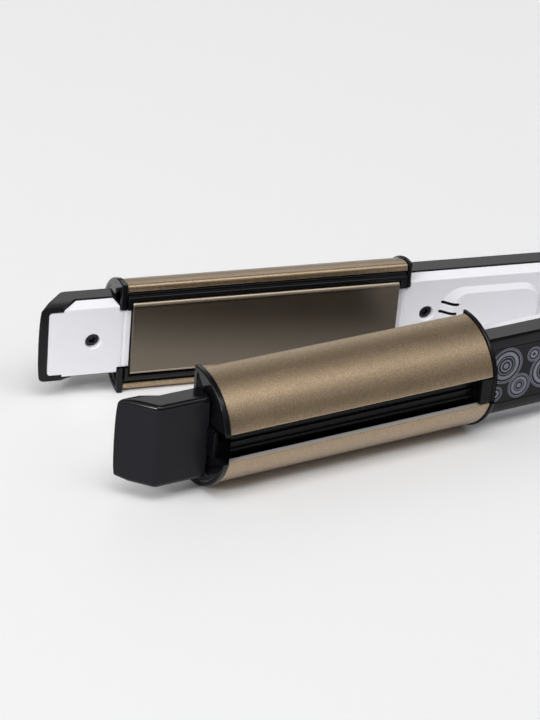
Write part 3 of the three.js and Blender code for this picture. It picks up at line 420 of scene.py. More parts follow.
class NodeTree:
    """Lays nodes and joins them."""

    def __init__(self, tree: bpy.types.NodeTree) -> None:
        """Keeps the tree that the nodes go into."""
        self.tree = tree

    def add(self, kind: str, **values: object) -> bpy.types.Node:
        """Adds a node and sets its properties.

        Args:
            kind: Type of the node.
            **values: Properties by name.

        Returns:
            The node.
        """
        node = self.tree.nodes.new(kind)
        for name, value in values.items():
            setattr(node, name, value)
        return node

    def link(self, source: bpy.types.NodeSocket, target: bpy.types.NodeSocket) -> None:
        """Joins two sockets."""
        self.tree.links.new(source, target)

    def ranged(self, value: bpy.types.NodeSocket, source: Span, target: Span,
               soft: bool = False) -> bpy.types.NodeSocket:
        """Brings a value from one range to another.

        Args:
            value: Socket of the value.
            source: The range that it has.
            target: The range that it gets.
            soft: Whether it starts and ends slowly.

        Returns:
            Socket of the new value.
        """
        node = self.add("ShaderNodeMapRange", interpolation_type="SMOOTHSTEP" if soft else "LINEAR")
        node.inputs["From Min"].default_value, node.inputs["From Max"].default_value = source
        node.inputs["To Min"].default_value, node.inputs["To Max"].default_value = target
        self.link(value, node.inputs["Value"])
        return node.outputs["Result"]

    def worked(self, operation: str, first: bpy.types.NodeSocket | float,
               second: bpy.types.NodeSocket | float = 0.0) -> bpy.types.NodeSocket:
        """Result of a sum on one value or two.

        Args:
            operation: Name of the sum.
            first: Number or socket.
            second: Number or socket.

        Returns:
            Socket of the result.
        """
        node = self.add("ShaderNodeMath", operation=operation)
        for socket, value in zip(node.inputs, (first, second)):
            if isinstance(value, bpy.types.NodeSocket):
                self.link(value, socket)
            else:
                socket.default_value = value
        return node.outputs["Value"]


class NodeSheet(NodeTree):
    """Lays the nodes of one material."""

    def __init__(self, name: str) -> None:
        """Starts a material with one principled shader.

        Args:
            name: Name of the material.
        """
        self.material = bpy.data.materials.new(name)
        self.material.use_nodes = True
        super().__init__(self.material.node_tree)
        self.shader = self.tree.nodes["Principled BSDF"]
        self.place = self.add("ShaderNodeTexCoord").outputs["Object"]

    def fixed(self, **values: float) -> None:
        """Sets sockets of the shader to plain values.

        Args:
            **values: Values by the sockets' names, with underscores for spaces.
        """
        for name, value in values.items():
            self.shader.inputs[name.replace("_", " ")].default_value = value

    def noise(self, size: float, detail: float = 2.0,
              stretch: tuple[float, float, float] = (1, 1, 1)) -> bpy.types.NodeSocket:
        """Noise with grains of a size in millimetres.

        Args:
            size: Size of the grains.
            detail: Number of finer layers.
            stretch: Share of the fineness along, across and up.

        Returns:
            Socket from 0 to 1.
        """
        mapping = self.add("ShaderNodeMapping")
        mapping.inputs["Scale"].default_value = stretch
        self.link(self.place, mapping.inputs["Vector"])
        node = self.add("ShaderNodeTexNoise")
        node.inputs["Scale"].default_value = 1 / (size * MM)
        node.inputs["Detail"].default_value = detail
        self.link(mapping.outputs["Vector"], node.inputs["Vector"])
        return node.outputs["Fac"]

    def mixed(self, share: bpy.types.NodeSocket, first: Colour | bpy.types.NodeSocket,
              second: Colour | bpy.types.NodeSocket) -> bpy.types.NodeSocket:
        """Mix of two colours.

        Args:
            share: Socket that gives the share of the second.
            first: Colour or socket.
            second: Colour or socket.

        Returns:
            Socket of the mixed colour.
        """
        node = self.add("ShaderNodeMix", data_type="RGBA")
        self.link(share, node.inputs["Factor"])
        for socket, colour in ((node.inputs["A"], first), (node.inputs["B"], second)):
            if isinstance(colour, bpy.types.NodeSocket):
                self.link(colour, socket)
            else:
                socket.default_value = (*colour, 1.0)
        return node.outputs["Result"]

    def coloured(self, colour: bpy.types.NodeSocket) -> None:
        """Gives the shader its colour."""
        self.link(colour, self.shader.inputs["Base Color"])

    def clouded(self, share: bpy.types.NodeSocket, colour: Colour, swing: float) -> None:
        """Gives the shader a colour that swings from darker to lighter by a share."""
        self.coloured(self.mixed(share, lighter(colour, -swing), lighter(colour, swing)))

    def roughened(self, roughness: bpy.types.NodeSocket) -> None:
        """Gives the shader its roughness."""
        self.link(roughness, self.shader.inputs["Roughness"])

    def worn(self, share: bpy.types.NodeSocket, roughness: float, swing: float) -> None:
        """Gives the shader a roughness that swings about a middle value by a share."""
        self.roughened(self.ranged(share, NOISE_SPAN, (roughness * (1 - swing), roughness * (1 + swing))))

    def bumped(self, height: bpy.types.NodeSocket, depth: float) -> None:
        """Gives the surface relief.

        Args:
            height: Socket from 0 at the bottom to 1 at the top.
            depth: Depth of the relief in millimetres.
        """
        node = self.add("ShaderNodeBump")
        node.inputs["Distance"].default_value = depth * MM
        self.link(height, node.inputs["Height"])
        self.link(node.outputs["Normal"], self.shader.inputs["Normal"])


def lighter(colour: Colour, share: float) -> Colour:
    """Colour made lighter, or darker by a negative share."""
    return tuple(min(1.0, value * (1 + share)) for value in colour)


@dataclass(frozen=True)
class Moulded:
    """Moulded plastic, rubber or ceramic with a fine grain.

    Here and in the other finishes, grains, clouds, marks and relief are in millimetres. Drift and wear
    are the shares by which colour and roughness swing.
    """

    name: str
    colour: Colour
    roughness: float
    grain: float = 0.4
    relief: float = 0.004
    cloud: float = 18.0
    drift: float = 0.05
    wear: float = 0.1
    specular: float = 0.5

    def material(self) -> bpy.types.Material:
        """Lays the nodes of this finish.

        Returns:
            The material.
        """
        sheet = NodeSheet(self.name)
        sheet.fixed(Specular_IOR_Level=self.specular)
        sheet.clouded(sheet.noise(self.cloud), self.colour, self.drift)
        grain = sheet.noise(self.grain, detail=3)
        sheet.worn(grain, self.roughness, self.wear)
        sheet.bumped(grain, self.relief)
        return sheet.material


@dataclass(frozen=True)
class FlakeMetal:
    """Metal under a thin champagne coat with fine bright flakes."""

    name: str
    colour: Colour
    roughness: float
    flake: float
    sparkle: float
    relief: float = 0.006
    flake_span: Span = (0.3, 0.72)
    cloud: float = 9.0
    wear: float = 0.07
    metal: float = 0.92
    coat: float = 0.55
    coat_roughness: float = 0.30

    def material(self) -> bpy.types.Material:
        """Lays the nodes of this finish.

        Returns:
            The material.
        """
        sheet = NodeSheet(self.name)
        sheet.fixed(Metallic=self.metal, Coat_Weight=self.coat, Coat_Roughness=self.coat_roughness)
        flakes = sheet.noise(self.flake, detail=4)
        sheet.clouded(sheet.ranged(flakes, self.flake_span, (0, 1)), self.colour, self.sparkle)
        sheet.worn(sheet.noise(self.cloud), self.roughness, self.wear)
        sheet.bumped(flakes, self.relief)
        return sheet.material


@dataclass(frozen=True)
class BrushedMetal:
    """Bare metal with fine marks along its length."""

    name: str
    colour: Colour
    roughness: float
    mark: float = 0.25
    stretch: tuple[float, float, float] = (0.03, 1, 1)
    drift: float = 0.12
    wear: float = 0.2
    relief: float = 0.002

    def material(self) -> bpy.types.Material:
        """Lays the nodes of this finish.

        Returns:
            The material.
        """
        sheet = NodeSheet(self.name)
        sheet.fixed(Metallic=1.0)
        marks = sheet.noise(self.mark, detail=3, stretch=self.stretch)
        sheet.clouded(marks, self.colour, self.drift)
        sheet.worn(marks, self.roughness, self.wear)
        sheet.bumped(marks, self.relief)
        return sheet.material


@dataclass(frozen=True)
class RingGroup:
    """Printed rings about one centre: radius and line width of each, in millimetres."""

    along: float
    up: float
    lines: tuple[Point, ...]


@dataclass(frozen=True)
class PrintedPanel:
    """Dark plastic with a print of plain rings."""

    name: str
    ground: Colour
    ink: Colour
    roughness: float
    groups: tuple[RingGroup, ...]
    specular: float = 0.2
    blur: float = 0.05
    grain: float = 0.3
    drift: float = 0.1
    relief: float = 0.002
    ink_roughness: float = 1.4

    def material(self) -> bpy.types.Material:
        """Lays the nodes of this finish.

        Returns:
            The material.
        """
        sheet = NodeSheet(self.name)
        sheet.fixed(Specular_IOR_Level=self.specular)
        parts = sheet.add("ShaderNodeSeparateXYZ")
        sheet.link(sheet.place, parts.inputs["Vector"])
        along = sheet.worked("MULTIPLY", parts.outputs["X"], -1 / MM)
        up = sheet.worked("MULTIPLY", parts.outputs["Z"], 1 / MM)
        print_share: bpy.types.NodeSocket | float = 0.0
        for group in self.groups:
            aside = sheet.worked("SUBTRACT", along, group.along)
            above = sheet.worked("SUBTRACT", up, group.up)
            squares = sheet.worked("ADD", sheet.worked("MULTIPLY", aside, aside),
                                   sheet.worked("MULTIPLY", above, above))
            reach = sheet.worked("SQRT", squares)
            for radius, width in group.lines:
                off = sheet.worked("ABSOLUTE", sheet.worked("SUBTRACT", reach, radius))
                line = sheet.ranged(off, (width / 2 + self.blur, width / 2 - self.blur), (0, 1))
                print_share = sheet.worked("MAXIMUM", print_share, line)
        grain = sheet.noise(self.grain, detail=3)
        ground = sheet.mixed(grain, lighter(self.ground, -self.drift), lighter(self.ground, self.drift))
        sheet.coloured(sheet.mixed(print_share, ground, self.ink))
        roughness_span = (self.roughness, self.roughness * self.ink_roughness)
        sheet.roughened(sheet.ranged(print_share, (0, 1), roughness_span))
        sheet.bumped(grain, self.relief)
        return sheet.material


@dataclass(frozen=True)
class Laminate:
    """Green board with copper tracks."""

    name: str
    ground: Colour
    track: Colour
    pitch: float = 8.0
    track_share: float = 0.03
    relief: float = 0.03

    def material(self) -> bpy.types.Material:
        """Lays the nodes of this finish.

        Returns:
            The material.
        """
        sheet = NodeSheet(self.name)
        bricks = sheet.add("ShaderNodeTexBrick")
        bricks.inputs["Scale"].default_value = 1 / (self.pitch * MM)
        bricks.inputs["Mortar Size"].default_value = self.track_share
        sheet.link(sheet.place, bricks.inputs["Vector"])
        sheet.coloured(sheet.mixed(bricks.outputs["Fac"], self.ground, self.track))
        sheet.bumped(bricks.outputs["Fac"], self.relief)
        return sheet.material


@dataclass(frozen=True)
class TintedLens:
    """Clear tinted plastic."""

    name: str
    colour: Colour
    roughness: Span = (0.08, 0.14)
    cloud: float = 1.5
    drift: float = 0.15
    clearness: float = 0.35
    coat: float = 0.5

    def material(self) -> bpy.types.Material:
        """Lays the nodes of this finish.

        Returns:
            The material.
        """
        sheet = NodeSheet(self.name)
        sheet.fixed(Transmission_Weight=self.clearness, Coat_Weight=self.coat)
        cloud = sheet.noise(self.cloud)
        sheet.clouded(cloud, self.colour, self.drift)
        sheet.roughened(sheet.ranged(cloud, NOISE_SPAN, self.roughness))
        return sheet.material


Finish = Moulded | FlakeMetal | BrushedMetal | PrintedPanel | Laminate | TintedLens
laid_finishes: dict[Finish, bpy.types.Material] = {}


def material_of(finish: Finish) -> bpy.types.Material:
    """Finds the material of a finish, and lays it the first time.

    Args:
        finish: The finish.

    Returns:
        The material.
    """
    if finish not in laid_finishes:
        laid_finishes[finish] = finish.material()
    return laid_finishes[finish]


CHAMPAGNE = FlakeMetal("champagne_shell", (0.402, 0.294, 0.186), 0.40, flake=0.20, sparkle=0.60)
SLOT_LIP = Moulded("slot_lip_grey", (0.36, 0.345, 0.33), 0.40)
PLATE_COAT = FlakeMetal("plate_coating", (0.166, 0.136, 0.102), 0.24, flake=0.25, sparkle=0.12,
                        relief=0.003)
# Painted highlight: a lighter colour on the plate's rolled edges, for the light that they catch.
PLATE_EDGE_HIGHLIGHT = FlakeMetal("plate_edge_highlight", (0.46, 0.385, 0.285), 0.36, flake=0.25, sparkle=0.2)
BLACK_GLOSS = Moulded("black_gloss", (0.0050, 0.0048, 0.0062), 0.15, grain=1.2, relief=0.0015,
                      specular=0.26)
BLACK_FACE = Moulded("black_face", (0.0150, 0.0145, 0.0185), 0.32, grain=0.8, relief=0.002,
                     specular=0.12)
BLACK_SATIN = Moulded("black_satin", (0.003, 0.003, 0.004), 0.28, specular=0.15)
WHITE_SATIN = Moulded("white_satin", (0.93, 0.925, 0.965), 0.40, relief=0.003, drift=0.01)
# Painted shade: the walls of the vent slits are coloured dark for the shade that lies in them.
SLIT_SHADE = Moulded("slit_shade", (0.010, 0.010, 0.022), 0.6)
SCREW_BLACK = BrushedMetal("screw_black", (0.045, 0.045, 0.05), 0.34)
BRIGHT_STEEL = BrushedMetal("bright_steel", (0.55, 0.56, 0.58), 0.25)
CERAMIC = Moulded("ceramic", (0.70, 0.66, 0.58), 0.75, relief=0.02)
SILICONE = Moulded("silicone", (0.45, 0.06, 0.03), 0.6)
INSULATION = Moulded("lead_insulation", (0.40, 0.40, 0.38), 0.55)
BOARD_GREEN = Laminate("board_laminate", (0.012, 0.10, 0.035), (0.02, 0.16, 0.06))
LAMP_RED = TintedLens("lamp_lens", (0.45, 0.02, 0.012))

# Rings of the inlay's print: radius and line width of each

BROAD = ((0.45, 0.9), (1.8, 0.55), (2.9, 0.25), (4.1, 1.15), (5.5, 0.28), (6.0, 0.22))
MIDDLE = ((0.4, 0.8), (1.5, 0.28), (2.5, 0.95), (3.6, 0.28), (4.1, 0.22))
SMALL = ((0.95, 0.75), (2.0, 0.25), (2.45, 0.2))
INLAY_RINGS = (
    RingGroup(145.4, 3.1, BROAD), RingGroup(148.2, -6.2, SMALL), RingGroup(139.4, -4.8, MIDDLE),
    RingGroup(135.0, 5.2, SMALL), RingGroup(129.6, -1.2, BROAD), RingGroup(122.4, 5.0, MIDDLE),
    RingGroup(119.4, -5.0, MIDDLE), RingGroup(112.8, 1.6, SMALL), RingGroup(106.6, -3.4, BROAD),
    RingGroup(101.0, 5.4, SMALL), RingGroup(94.6, 2.4, MIDDLE), RingGroup(88.6, -4.6, MIDDLE),
    RingGroup(81.0, 2.2, BROAD), RingGroup(72.6, -4.8, MIDDLE), RingGroup(67.4, 3.6, SMALL),
)
INLAY_PRINT = PrintedPanel("inlay_rings", (0.006, 0.006, 0.0085), (0.215, 0.22, 0.27), 0.26, INLAY_RINGS)


# Arms and fitting


class Side(Enum):
    """The two arms: the far one keeps still, the near one turns on the pin."""

    FIXED = "fixed"
    MOVING = "moving"


@dataclass(frozen=True)
class Arm:
    """Place of one arm, and how pieces are fitted to it."""

    side: Side
    open_angle: float
    rest_height: float = 18.6
    crease: float = 30.0

    @property
    def body(self) -> str:
        """Name of the arm's CAD body."""
        return f"{self.side.value}_arm"

    def node(self, name: str) -> str:
        """Full name of one of the arm's nodes."""
        return f"{self.side.value}_{name}"

    def placed(self) -> Matrix:
        """Place of the arm's own frame in the shared frame, in metres."""
        raised = Matrix.Translation((0, 0, self.rest_height * MM))
        return raised @ Matrix.Rotation(math.radians(self.open_angle), 4, "Z")

    def from_drawing(self) -> Matrix:
        """Turns arm space in millimetres into the arm's own frame in metres."""
        outwards = 1 if self.side is Side.FIXED else -1
        return Matrix.Diagonal((-MM, outwards * MM, MM, 1))

    def from_shared(self) -> Matrix:
        """Turns the shared frame in metres into arm space in millimetres."""
        return (self.placed() @ self.from_drawing()).inverted()

    def fit(self, blank: Blank, name: str, finish: Finish, slot: str, stands_for: Sequence[str],
            body: str | None = None) -> bpy.types.Object:
        """Makes a finished piece of a blank and lets it ride on its body.

        Args:
            blank: The form in arm space.
            name: Name of the piece.
            finish: Its finish.
            slot: The record's material slot of the finish, which is not used.
            stands_for: CAD nodes that it replaces.
            body: Name of the CAD body, or the arm's own.

        Returns:
            The piece.
        """
        mesh = blank.mesh.copy()
        mesh.name = name
        mesh.transform(self.from_drawing())
        if self.side is Side.FIXED:
            mesh.flip_normals()
        mesh.shade_smooth()
        mesh.set_sharp_from_angle(angle=math.radians(self.crease))
        mesh.materials.clear()
        mesh.materials.append(material_of(finish))
        rough = bpy.data.objects.new(name + "_rough", mesh)
        bpy.context.scene.collection.objects.link(rough)
        even = rough.modifiers.new("even", "WEIGHTED_NORMAL")
        even.keep_sharp = True
        piece = bpy.data.objects.new(name, evaluated(rough))
        bpy.data.objects.remove(rough)
        bpy.context.scene.collection.objects.link(piece)
        piece.matrix_world = self.placed()
        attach(piece, body or self.body)
        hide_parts(*stands_for)
        LOG.info("%s: %d faces on %s", name, len(piece.data.polygons), body or self.body)
        return piece

    def fit_softened(self, node: str, finish: Finish, slot: str, width: float,
                     body: str | None = None) -> None:
        """Fits a CAD node's own form with its edges taken off.

        Args:
            node: Full name of the node.
            finish: Its finish.
            slot: The record's material slot.
            width: Width of the rounding.
            body: Name of the CAD body, or the arm's own.
        """
        form = Blank.of_node(self, node).softened(width)
        self.fit(form, f"{node}_finished", finish, slot, [node], body)


def second_finish(piece: bpy.types.Object, finish: Finish,
                  chosen: Callable[[Vector, Vector], bool]) -> None:
    """Gives some faces of a piece another finish.

    Args:
        piece: The piece.
        finish: The other finish.
        chosen: Says from a face's centre and normal, in the arm's own frame in metres, if it has it.
    """
    piece.data.materials.append(material_of(finish))
    for face in piece.data.polygons:
        if chosen(face.center, face.normal):
            face.material_index = 1


@dataclass(frozen=True)
class Measures:
    """Places and sizes that several sub-assemblies share, in millimetres of arm space.

    Names with face, back or out give distances outwards, and names with half give half a height. The
    other places lie along the arm.
    """

    gap: float = 0.3
    plate: Span = (158.0, 246.0)
    shell: Span = (155.5, 247.6)
    rear_disc: Span = (154.0, 155.2)
    tip_disc: Span = (247.9, 249.8)
    handle_end: float = 153.7
    cover_start: float = 14.0
    tip_cover_start: float = 250.1
    cap_start: float = 251.2
    tip_end: float = 275.6
    inner_face: float = 1.5
    inner_wall: float = 1.5
    tongue_half: float = 9.7
    tongue_back: float = 3.3
    slot_half: float = 4.4
    carrier_back: float = 9.5
    spine_out: float = 13.0
    handle_face: float = 13.3
    handle_screw: float = 147.1
    tip_screw: float = 258.1
    screw_head: float = 2.1
    screw_shank: float = 1.2
    screw_sunk: float = 1.5
    window_back: float = 6.2

    @property
    def window_half(self) -> float:
        """Half height of the window of discs and carrier, through which a tongue runs."""
        return self.tongue_half + self.gap


SHARED = Measures()


# Barrel


@dataclass(frozen=True)
class Barrel:
    """The two metal shells of an arm and the discs at their ends.

    A shell ends in two lips that turn inwards: one behind the rolled edge beside the carrier, and one in
    the slot, which has a light grey finish. The tip disc has a raised rim round its outer face.
    """

    arm: Arm
    axis_out: float = 2.7
    radius: float = 18.0
    wall: float = 1.3
    edge_out: float = 1.5
    edge_lip: float = 2.3
    lip_wall: float = 1.0
    slot_lip: float = 2.3
    slot_round: float = 0.35
    lip_round: float = 0.3
    edge_roll: float = 1.4
    shell_steps: int = 44
    roll_steps: int = 10
    lip_margin: float = 0.02
    disc_proud: float = 0.6
    disc_face: float = 1.0
    disc_edge: float = 0.38
    disc_steps: int = 60
    tang_half: float = 8.3
    tang_out: float = 11.3
    rim_width: float = 1.5
    rim_height: float = 0.3
    rim_edge: Point = (0.08, 0.06)

    def shell_section(self) -> tuple[list[Point], list[float]]:
        """Draws the upper shell's section.

        Returns:
            Its corners and their radii.
        """
        centre = (self.axis_out, 0.0)
        edge = self.edge_out - self.axis_out
        roll_out = edge + self.edge_roll
        roll_up = math.sqrt((self.radius - self.edge_roll) ** 2 - roll_out ** 2)
        roll_start = math.atan2(roll_up, roll_out)
        inside = self.radius - self.wall
        slot = SHARED.slot_half
        slot_top = slot + self.lip_wall
        outer = arc(centre, self.radius, math.asin(slot / self.radius), roll_start, self.shell_steps)
        outer += arc((self.edge_out + self.edge_roll, roll_up), self.edge_roll, roll_start, math.pi,
                     self.roll_steps)[1:]
        inner = arc(centre, inside, math.acos((edge + self.lip_wall) / inside),
                    math.asin(slot_top / inside), self.shell_steps)
        edge_top = math.sqrt(self.radius ** 2 - edge ** 2)
        edge_end = edge_top - self.edge_lip
        slot_end = outer[0][0] - self.slot_lip
        corners = [*outer, (self.edge_out, edge_end), (self.edge_out + self.lip_wall, edge_end),
                   *inner, (slot_end, slot_top), (slot_end, slot)]
        radii = [0.0] * len(corners)
        radii[0] = self.slot_round
        for lip_corner in (len(outer), len(outer) + 1, -1, -2):
            radii[lip_corner] = self.lip_round
        return corners, radii

    def build_shell(self, is_upper: bool) -> None:
        """Makes one shell.

        Args:
            is_upper: Whether it is the upper or the lower one.
        """
        corners, radii = self.shell_section()
        if not is_upper:
            corners = [(out, -up) for out, up in corners]
        name = self.arm.node("upper_shell" if is_upper else "lower_shell")
        form = Blank.slab(corners, Axis.ALONG, SHARED.shell, radii=radii)
        piece = self.arm.fit(form, name + "_metal", CHAMPAGNE, "shell", [name])
        lip = (SHARED.slot_half + self.lip_margin) * MM
        second_finish(piece, SLOT_LIP, lambda centre, _: abs(centre.z) < lip)

    def disc_outline(self) -> list[Point]:
        """Draws an end disc, with its window and the notch for the slot.

        Returns:
            Its outline.
        """
        radius = self.radius + self.disc_proud
        flat = math.acos((self.disc_face - self.axis_out) / radius)
        notch = math.asin(SHARED.slot_half / radius)
        notch_out = SHARED.spine_out - SHARED.gap
        upper = [(notch_out, SHARED.slot_half),
                 *arc((self.axis_out, 0), radius, notch, flat, self.disc_steps),
                 (self.disc_face, SHARED.window_half), (SHARED.window_back, SHARED.window_half)]
        return doubled(upper)

    def build_disc(self, is_rear: bool) -> None:
        """Makes one disc.

        Args:
            is_rear: Whether it is the rear one, with a slot for the handle's tang, or the tip's,
                with a raised rim.
        """
        span = SHARED.rear_disc if is_rear else SHARED.tip_disc
        profile = edge_profile(span, self.disc_edge)
        if not is_rear:
            edge_in, edge_down = self.rim_edge
            profile += [(self.rim_width, span[1]), (self.rim_width + edge_in, span[1] - edge_down),
                        (self.rim_width + self.rim_height, span[1] - self.rim_height)]
        form = Blank.slab(self.disc_outline(), Axis.ALONG, span, profile=profile)
        if is_rear:
            form.cut(Blank.block(widened(span), (SHARED.carrier_back, self.tang_out),
                                 about(self.tang_half)))
        name = self.arm.node("rear_disc" if is_rear else "tip_disc")
        self.arm.fit(form, name + "_gloss", BLACK_GLOSS, "black_gloss", [name])

    def build(self) -> None:
        """Makes both shells and both discs."""
        for choice in (True, False):
            self.build_shell(choice)
            self.build_disc(choice)


# Plate and its carrier


@dataclass(frozen=True)
class PlateUnit:
    """Heating plate, and the carrier whose ridges stand beside it.

    The plate's long edges fall away from its face, and a flange on each side runs behind the ridges.
    """

    arm: Arm
    face_out: float = 0.25
    half: float = 12.5
    fall: float = 1.5
    fall_depth: float = 0.55
    fall_round: float = 2.8
    edge_round: float = 1.5
    highlight_tilt: float = 0.26
    flange_out: float = 1.9
    flange: float = 1.1
    flange_radii: tuple[float, ...] = (0.2, 0.3, 0.2)
    end_edge: float = 0.2
    ridge_out: float = 0.6
    ridge_inside: float = 12.9
    ridge_outside: float = 14.3
    ridge_depth: float = 1.0
    step_out: float = 1.7
    step_half: float = 15.3
    floor_out: float = 8.0
    corner: float = 2.5
    carrier_radii: tuple[float, ...] = (0.55, 0.6, 0.15, 0.55, 0.5, 0.5)
    run_gap: float = 0.4

    def build_plate(self) -> None:
        """Makes the heating plate."""
        back = self.flange_out + self.flange
        upper = [(self.face_out, self.half - self.fall), (self.face_out + self.fall_depth, self.half),
                 (self.flange_out, self.half), (self.flange_out, self.half + self.flange),
                 (back, self.half + self.flange)]
        radii = [self.fall_round, self.edge_round, *self.flange_radii]
        form = Blank.slab(doubled(upper), Axis.ALONG, SHARED.plate, radii=[*radii, *reversed(radii)],
                          edge=self.end_edge, steps=8)
        name = self.arm.node("heating_plate")
        piece = self.arm.fit(form, name + "_coated", PLATE_COAT, "plate", [name],
                             body=self.arm.node("plate"))
        # Faces whose normals tilt up or down past the tilt get the painted highlight.
        second_finish(piece, PLATE_EDGE_HIGHLIGHT, lambda _, normal: abs(normal.z) > self.highlight_tilt)

    def build_carrier(self) -> None:
        """Makes the carrier."""
        back = SHARED.carrier_back
        upper = [(self.ridge_out, self.ridge_inside), (self.ridge_out, self.ridge_outside),
                 (self.step_out, self.ridge_outside), (self.step_out, self.step_half),
                 (back - self.corner, self.step_half), (back, self.step_half - self.corner / 2)]
        radii = self.carrier_radii
        form = Blank.slab(doubled(upper), Axis.ALONG, SHARED.shell, radii=[*radii, *reversed(radii)],
                          edge=self.end_edge)
        lip = self.ridge_out + self.ridge_depth
        inside = self.half + self.flange + SHARED.gap
        hollow = [(self.ridge_out - PAST, self.ridge_inside), (lip, self.ridge_inside), (lip, inside),
                  (self.floor_out, inside)]
        span = (SHARED.plate[0] - self.run_gap, SHARED.plate[1] + self.run_gap)
        form.cut(Blank.slab(doubled(hollow), Axis.ALONG, span),
                 Blank.block(widened(SHARED.shell), (self.ridge_out - PAST, SHARED.window_back),
                             about(SHARED.window_half)))
        name = self.arm.node("plate_carrier")
        self.arm.fit(form, name + "_gloss", BLACK_GLOSS, "black_gloss", [name])

    def build(self) -> None:
        """Makes the plate and its carrier."""
        self.build_plate()
        self.build_carrier()


# Screws, tongues and the section of the white covers


@dataclass(frozen=True)
class Screw:
    """Dark screw with a lobed socket, seen in its hole."""

    arm: Arm
    head_height: float = 1.6
    head_edge: float = 0.1
    length: float = 7.2
    end_taper: Point = (0.5, 0.6)
    head_round: float = 0.25
    socket_depth: float = 0.9
    lobe_reach: float = 1.3
    lobe_root: float = 0.95
    lobes: int = 6
    round_steps: int = 40
    socket_steps: int = 36

    def build(self, name: str, reach: float) -> None:
        """Makes one screw whose head is sunk in a white cover.

        Args:
            name: Name of its CAD node without the arm.
            reach: Distance of its axis along the arm.
        """
        top = SHARED.inner_face + SHARED.screw_sunk
        head, shank, edge = SHARED.screw_head, SHARED.screw_shank, self.head_edge
        taper_in, taper_length = self.end_taper
        profile = [(head - self.head_round - 2 * edge, top), (head - edge, top + edge),
                   (head, top + self.head_round + edge), (head, top + self.head_height),
                   (shank, top + self.head_height + edge), (shank, top + self.length - taper_length),
                   (shank - taper_in, top + self.length)]
        form = Blank.turned(profile, reach, self.round_steps)
        middle = (self.lobe_reach + self.lobe_root) / 2
        swing = (self.lobe_reach - self.lobe_root) / 2
        star = []
        for i in range(self.socket_steps):
            angle = 2 * math.pi * i / self.socket_steps
            size = middle + swing * math.cos(self.lobes * angle)
            star.append((reach + size * math.cos(angle), size * math.sin(angle)))
        form.cut(Blank.slab(star, Axis.OUT, (top - PAST, top + self.socket_depth)))
        self.arm.fit(form, self.arm.node(name + "_black"), SCREW_BLACK, "screw", [self.arm.node(name)])


@dataclass(frozen=True)
class ScrewSeat:
    """Boss and hole of a white cover that take a screw."""

    reach: float
    seat_depth: float = 1.75
    mouth: float = 0.25
    boss_wall: float = 1.2
    boss_span: Span = (2.0, 7.3)
    hole_end: float = 12.0
    boss_steps: int = 40
    head_steps: int = 48
    shank_steps: int = 24

    def boss(self) -> Blank:
        """Tube on the back of the cover."""
        radius = SHARED.screw_head + SHARED.gap + self.boss_wall
        return Blank.turned([(radius, depth) for depth in self.boss_span], self.reach, self.boss_steps)

    def tools(self) -> list[Blank]:
        """Makes the tools that cut the hole for the head and the one for the shank.

        Returns:
            The tools.
        """
        face = SHARED.inner_face
        head = SHARED.screw_head + SHARED.gap
        shank = SHARED.screw_shank + SHARED.gap
        head_profile = [(head + self.mouth + PAST, face - PAST), (head + self.mouth, face),
                        (head, face + self.mouth), (head, face + SHARED.screw_sunk + self.seat_depth)]
        return [Blank.turned(head_profile, self.reach, self.head_steps),
                Blank.turned([(shank, face), (shank, self.hole_end)], self.reach, self.shank_steps)]


@dataclass(frozen=True)
class Tongue:
    """Tongue of a white cover that runs through a disc to the plate.

    Between the cover's face and the band beside the plate it has a shallow groove, which rises slowly
    towards the plate. The sign of the ramp says on which side the plate lies.
    """

    start: float
    end: float
    step: float
    ramp: float
    fold: float = 0.35
    end_edge: float = 0.15
    groove: float = 0.3
    groove_end: float = 0.02

    def form(self) -> Blank:
        """Draws the tongue.

        Returns:
            Its form.
        """
        half = SHARED.tongue_half
        face = SHARED.inner_face
        form = Blank.slab(rectangle((face, SHARED.tongue_back), about(half)), Axis.ALONG,
                          (self.start, self.end), radii=self.fold, edge=self.end_edge, steps=3)
        rise = self.step + self.ramp
        groove = [(self.step, face - PAST), (self.step, face + self.groove),
                  (rise, face + self.groove_end), (rise, face - PAST)]
        return form.cut(Blank.slab(groove, Axis.UP, about(half + PAST)))


@dataclass(frozen=True)
class CoverSection:
    """Section of a white cover: narrow at its face, wider at the line where it meets the black."""

    face_half: float
    parting_out: float
    parting_half: float
    fold: float = 0.5

    def run(self, span: Span, inset: float = 0.0, past: float = 0.0) -> Blank:
        """Runs the section between two distances along the arm.

        Args:
            span: The two distances.
            inset: Wall by which the form lies inside the section. It has folds only without one.
            past: Distance by which it goes on past the parting line.

        Returns:
            The form.
        """
        slope = (self.parting_half - self.face_half) / (self.parting_out - SHARED.inner_face)
        upper = [(out, self.face_half + slope * (out - SHARED.inner_face) - inset)
                 for out in (SHARED.inner_face + inset, self.parting_out + past)]
        fold = self.fold if inset == 0 else 0.0
        return Blank.slab(doubled(upper), Axis.ALONG, span, radii=[fold, 0.0, 0.0, fold], steps=5)


# Handle


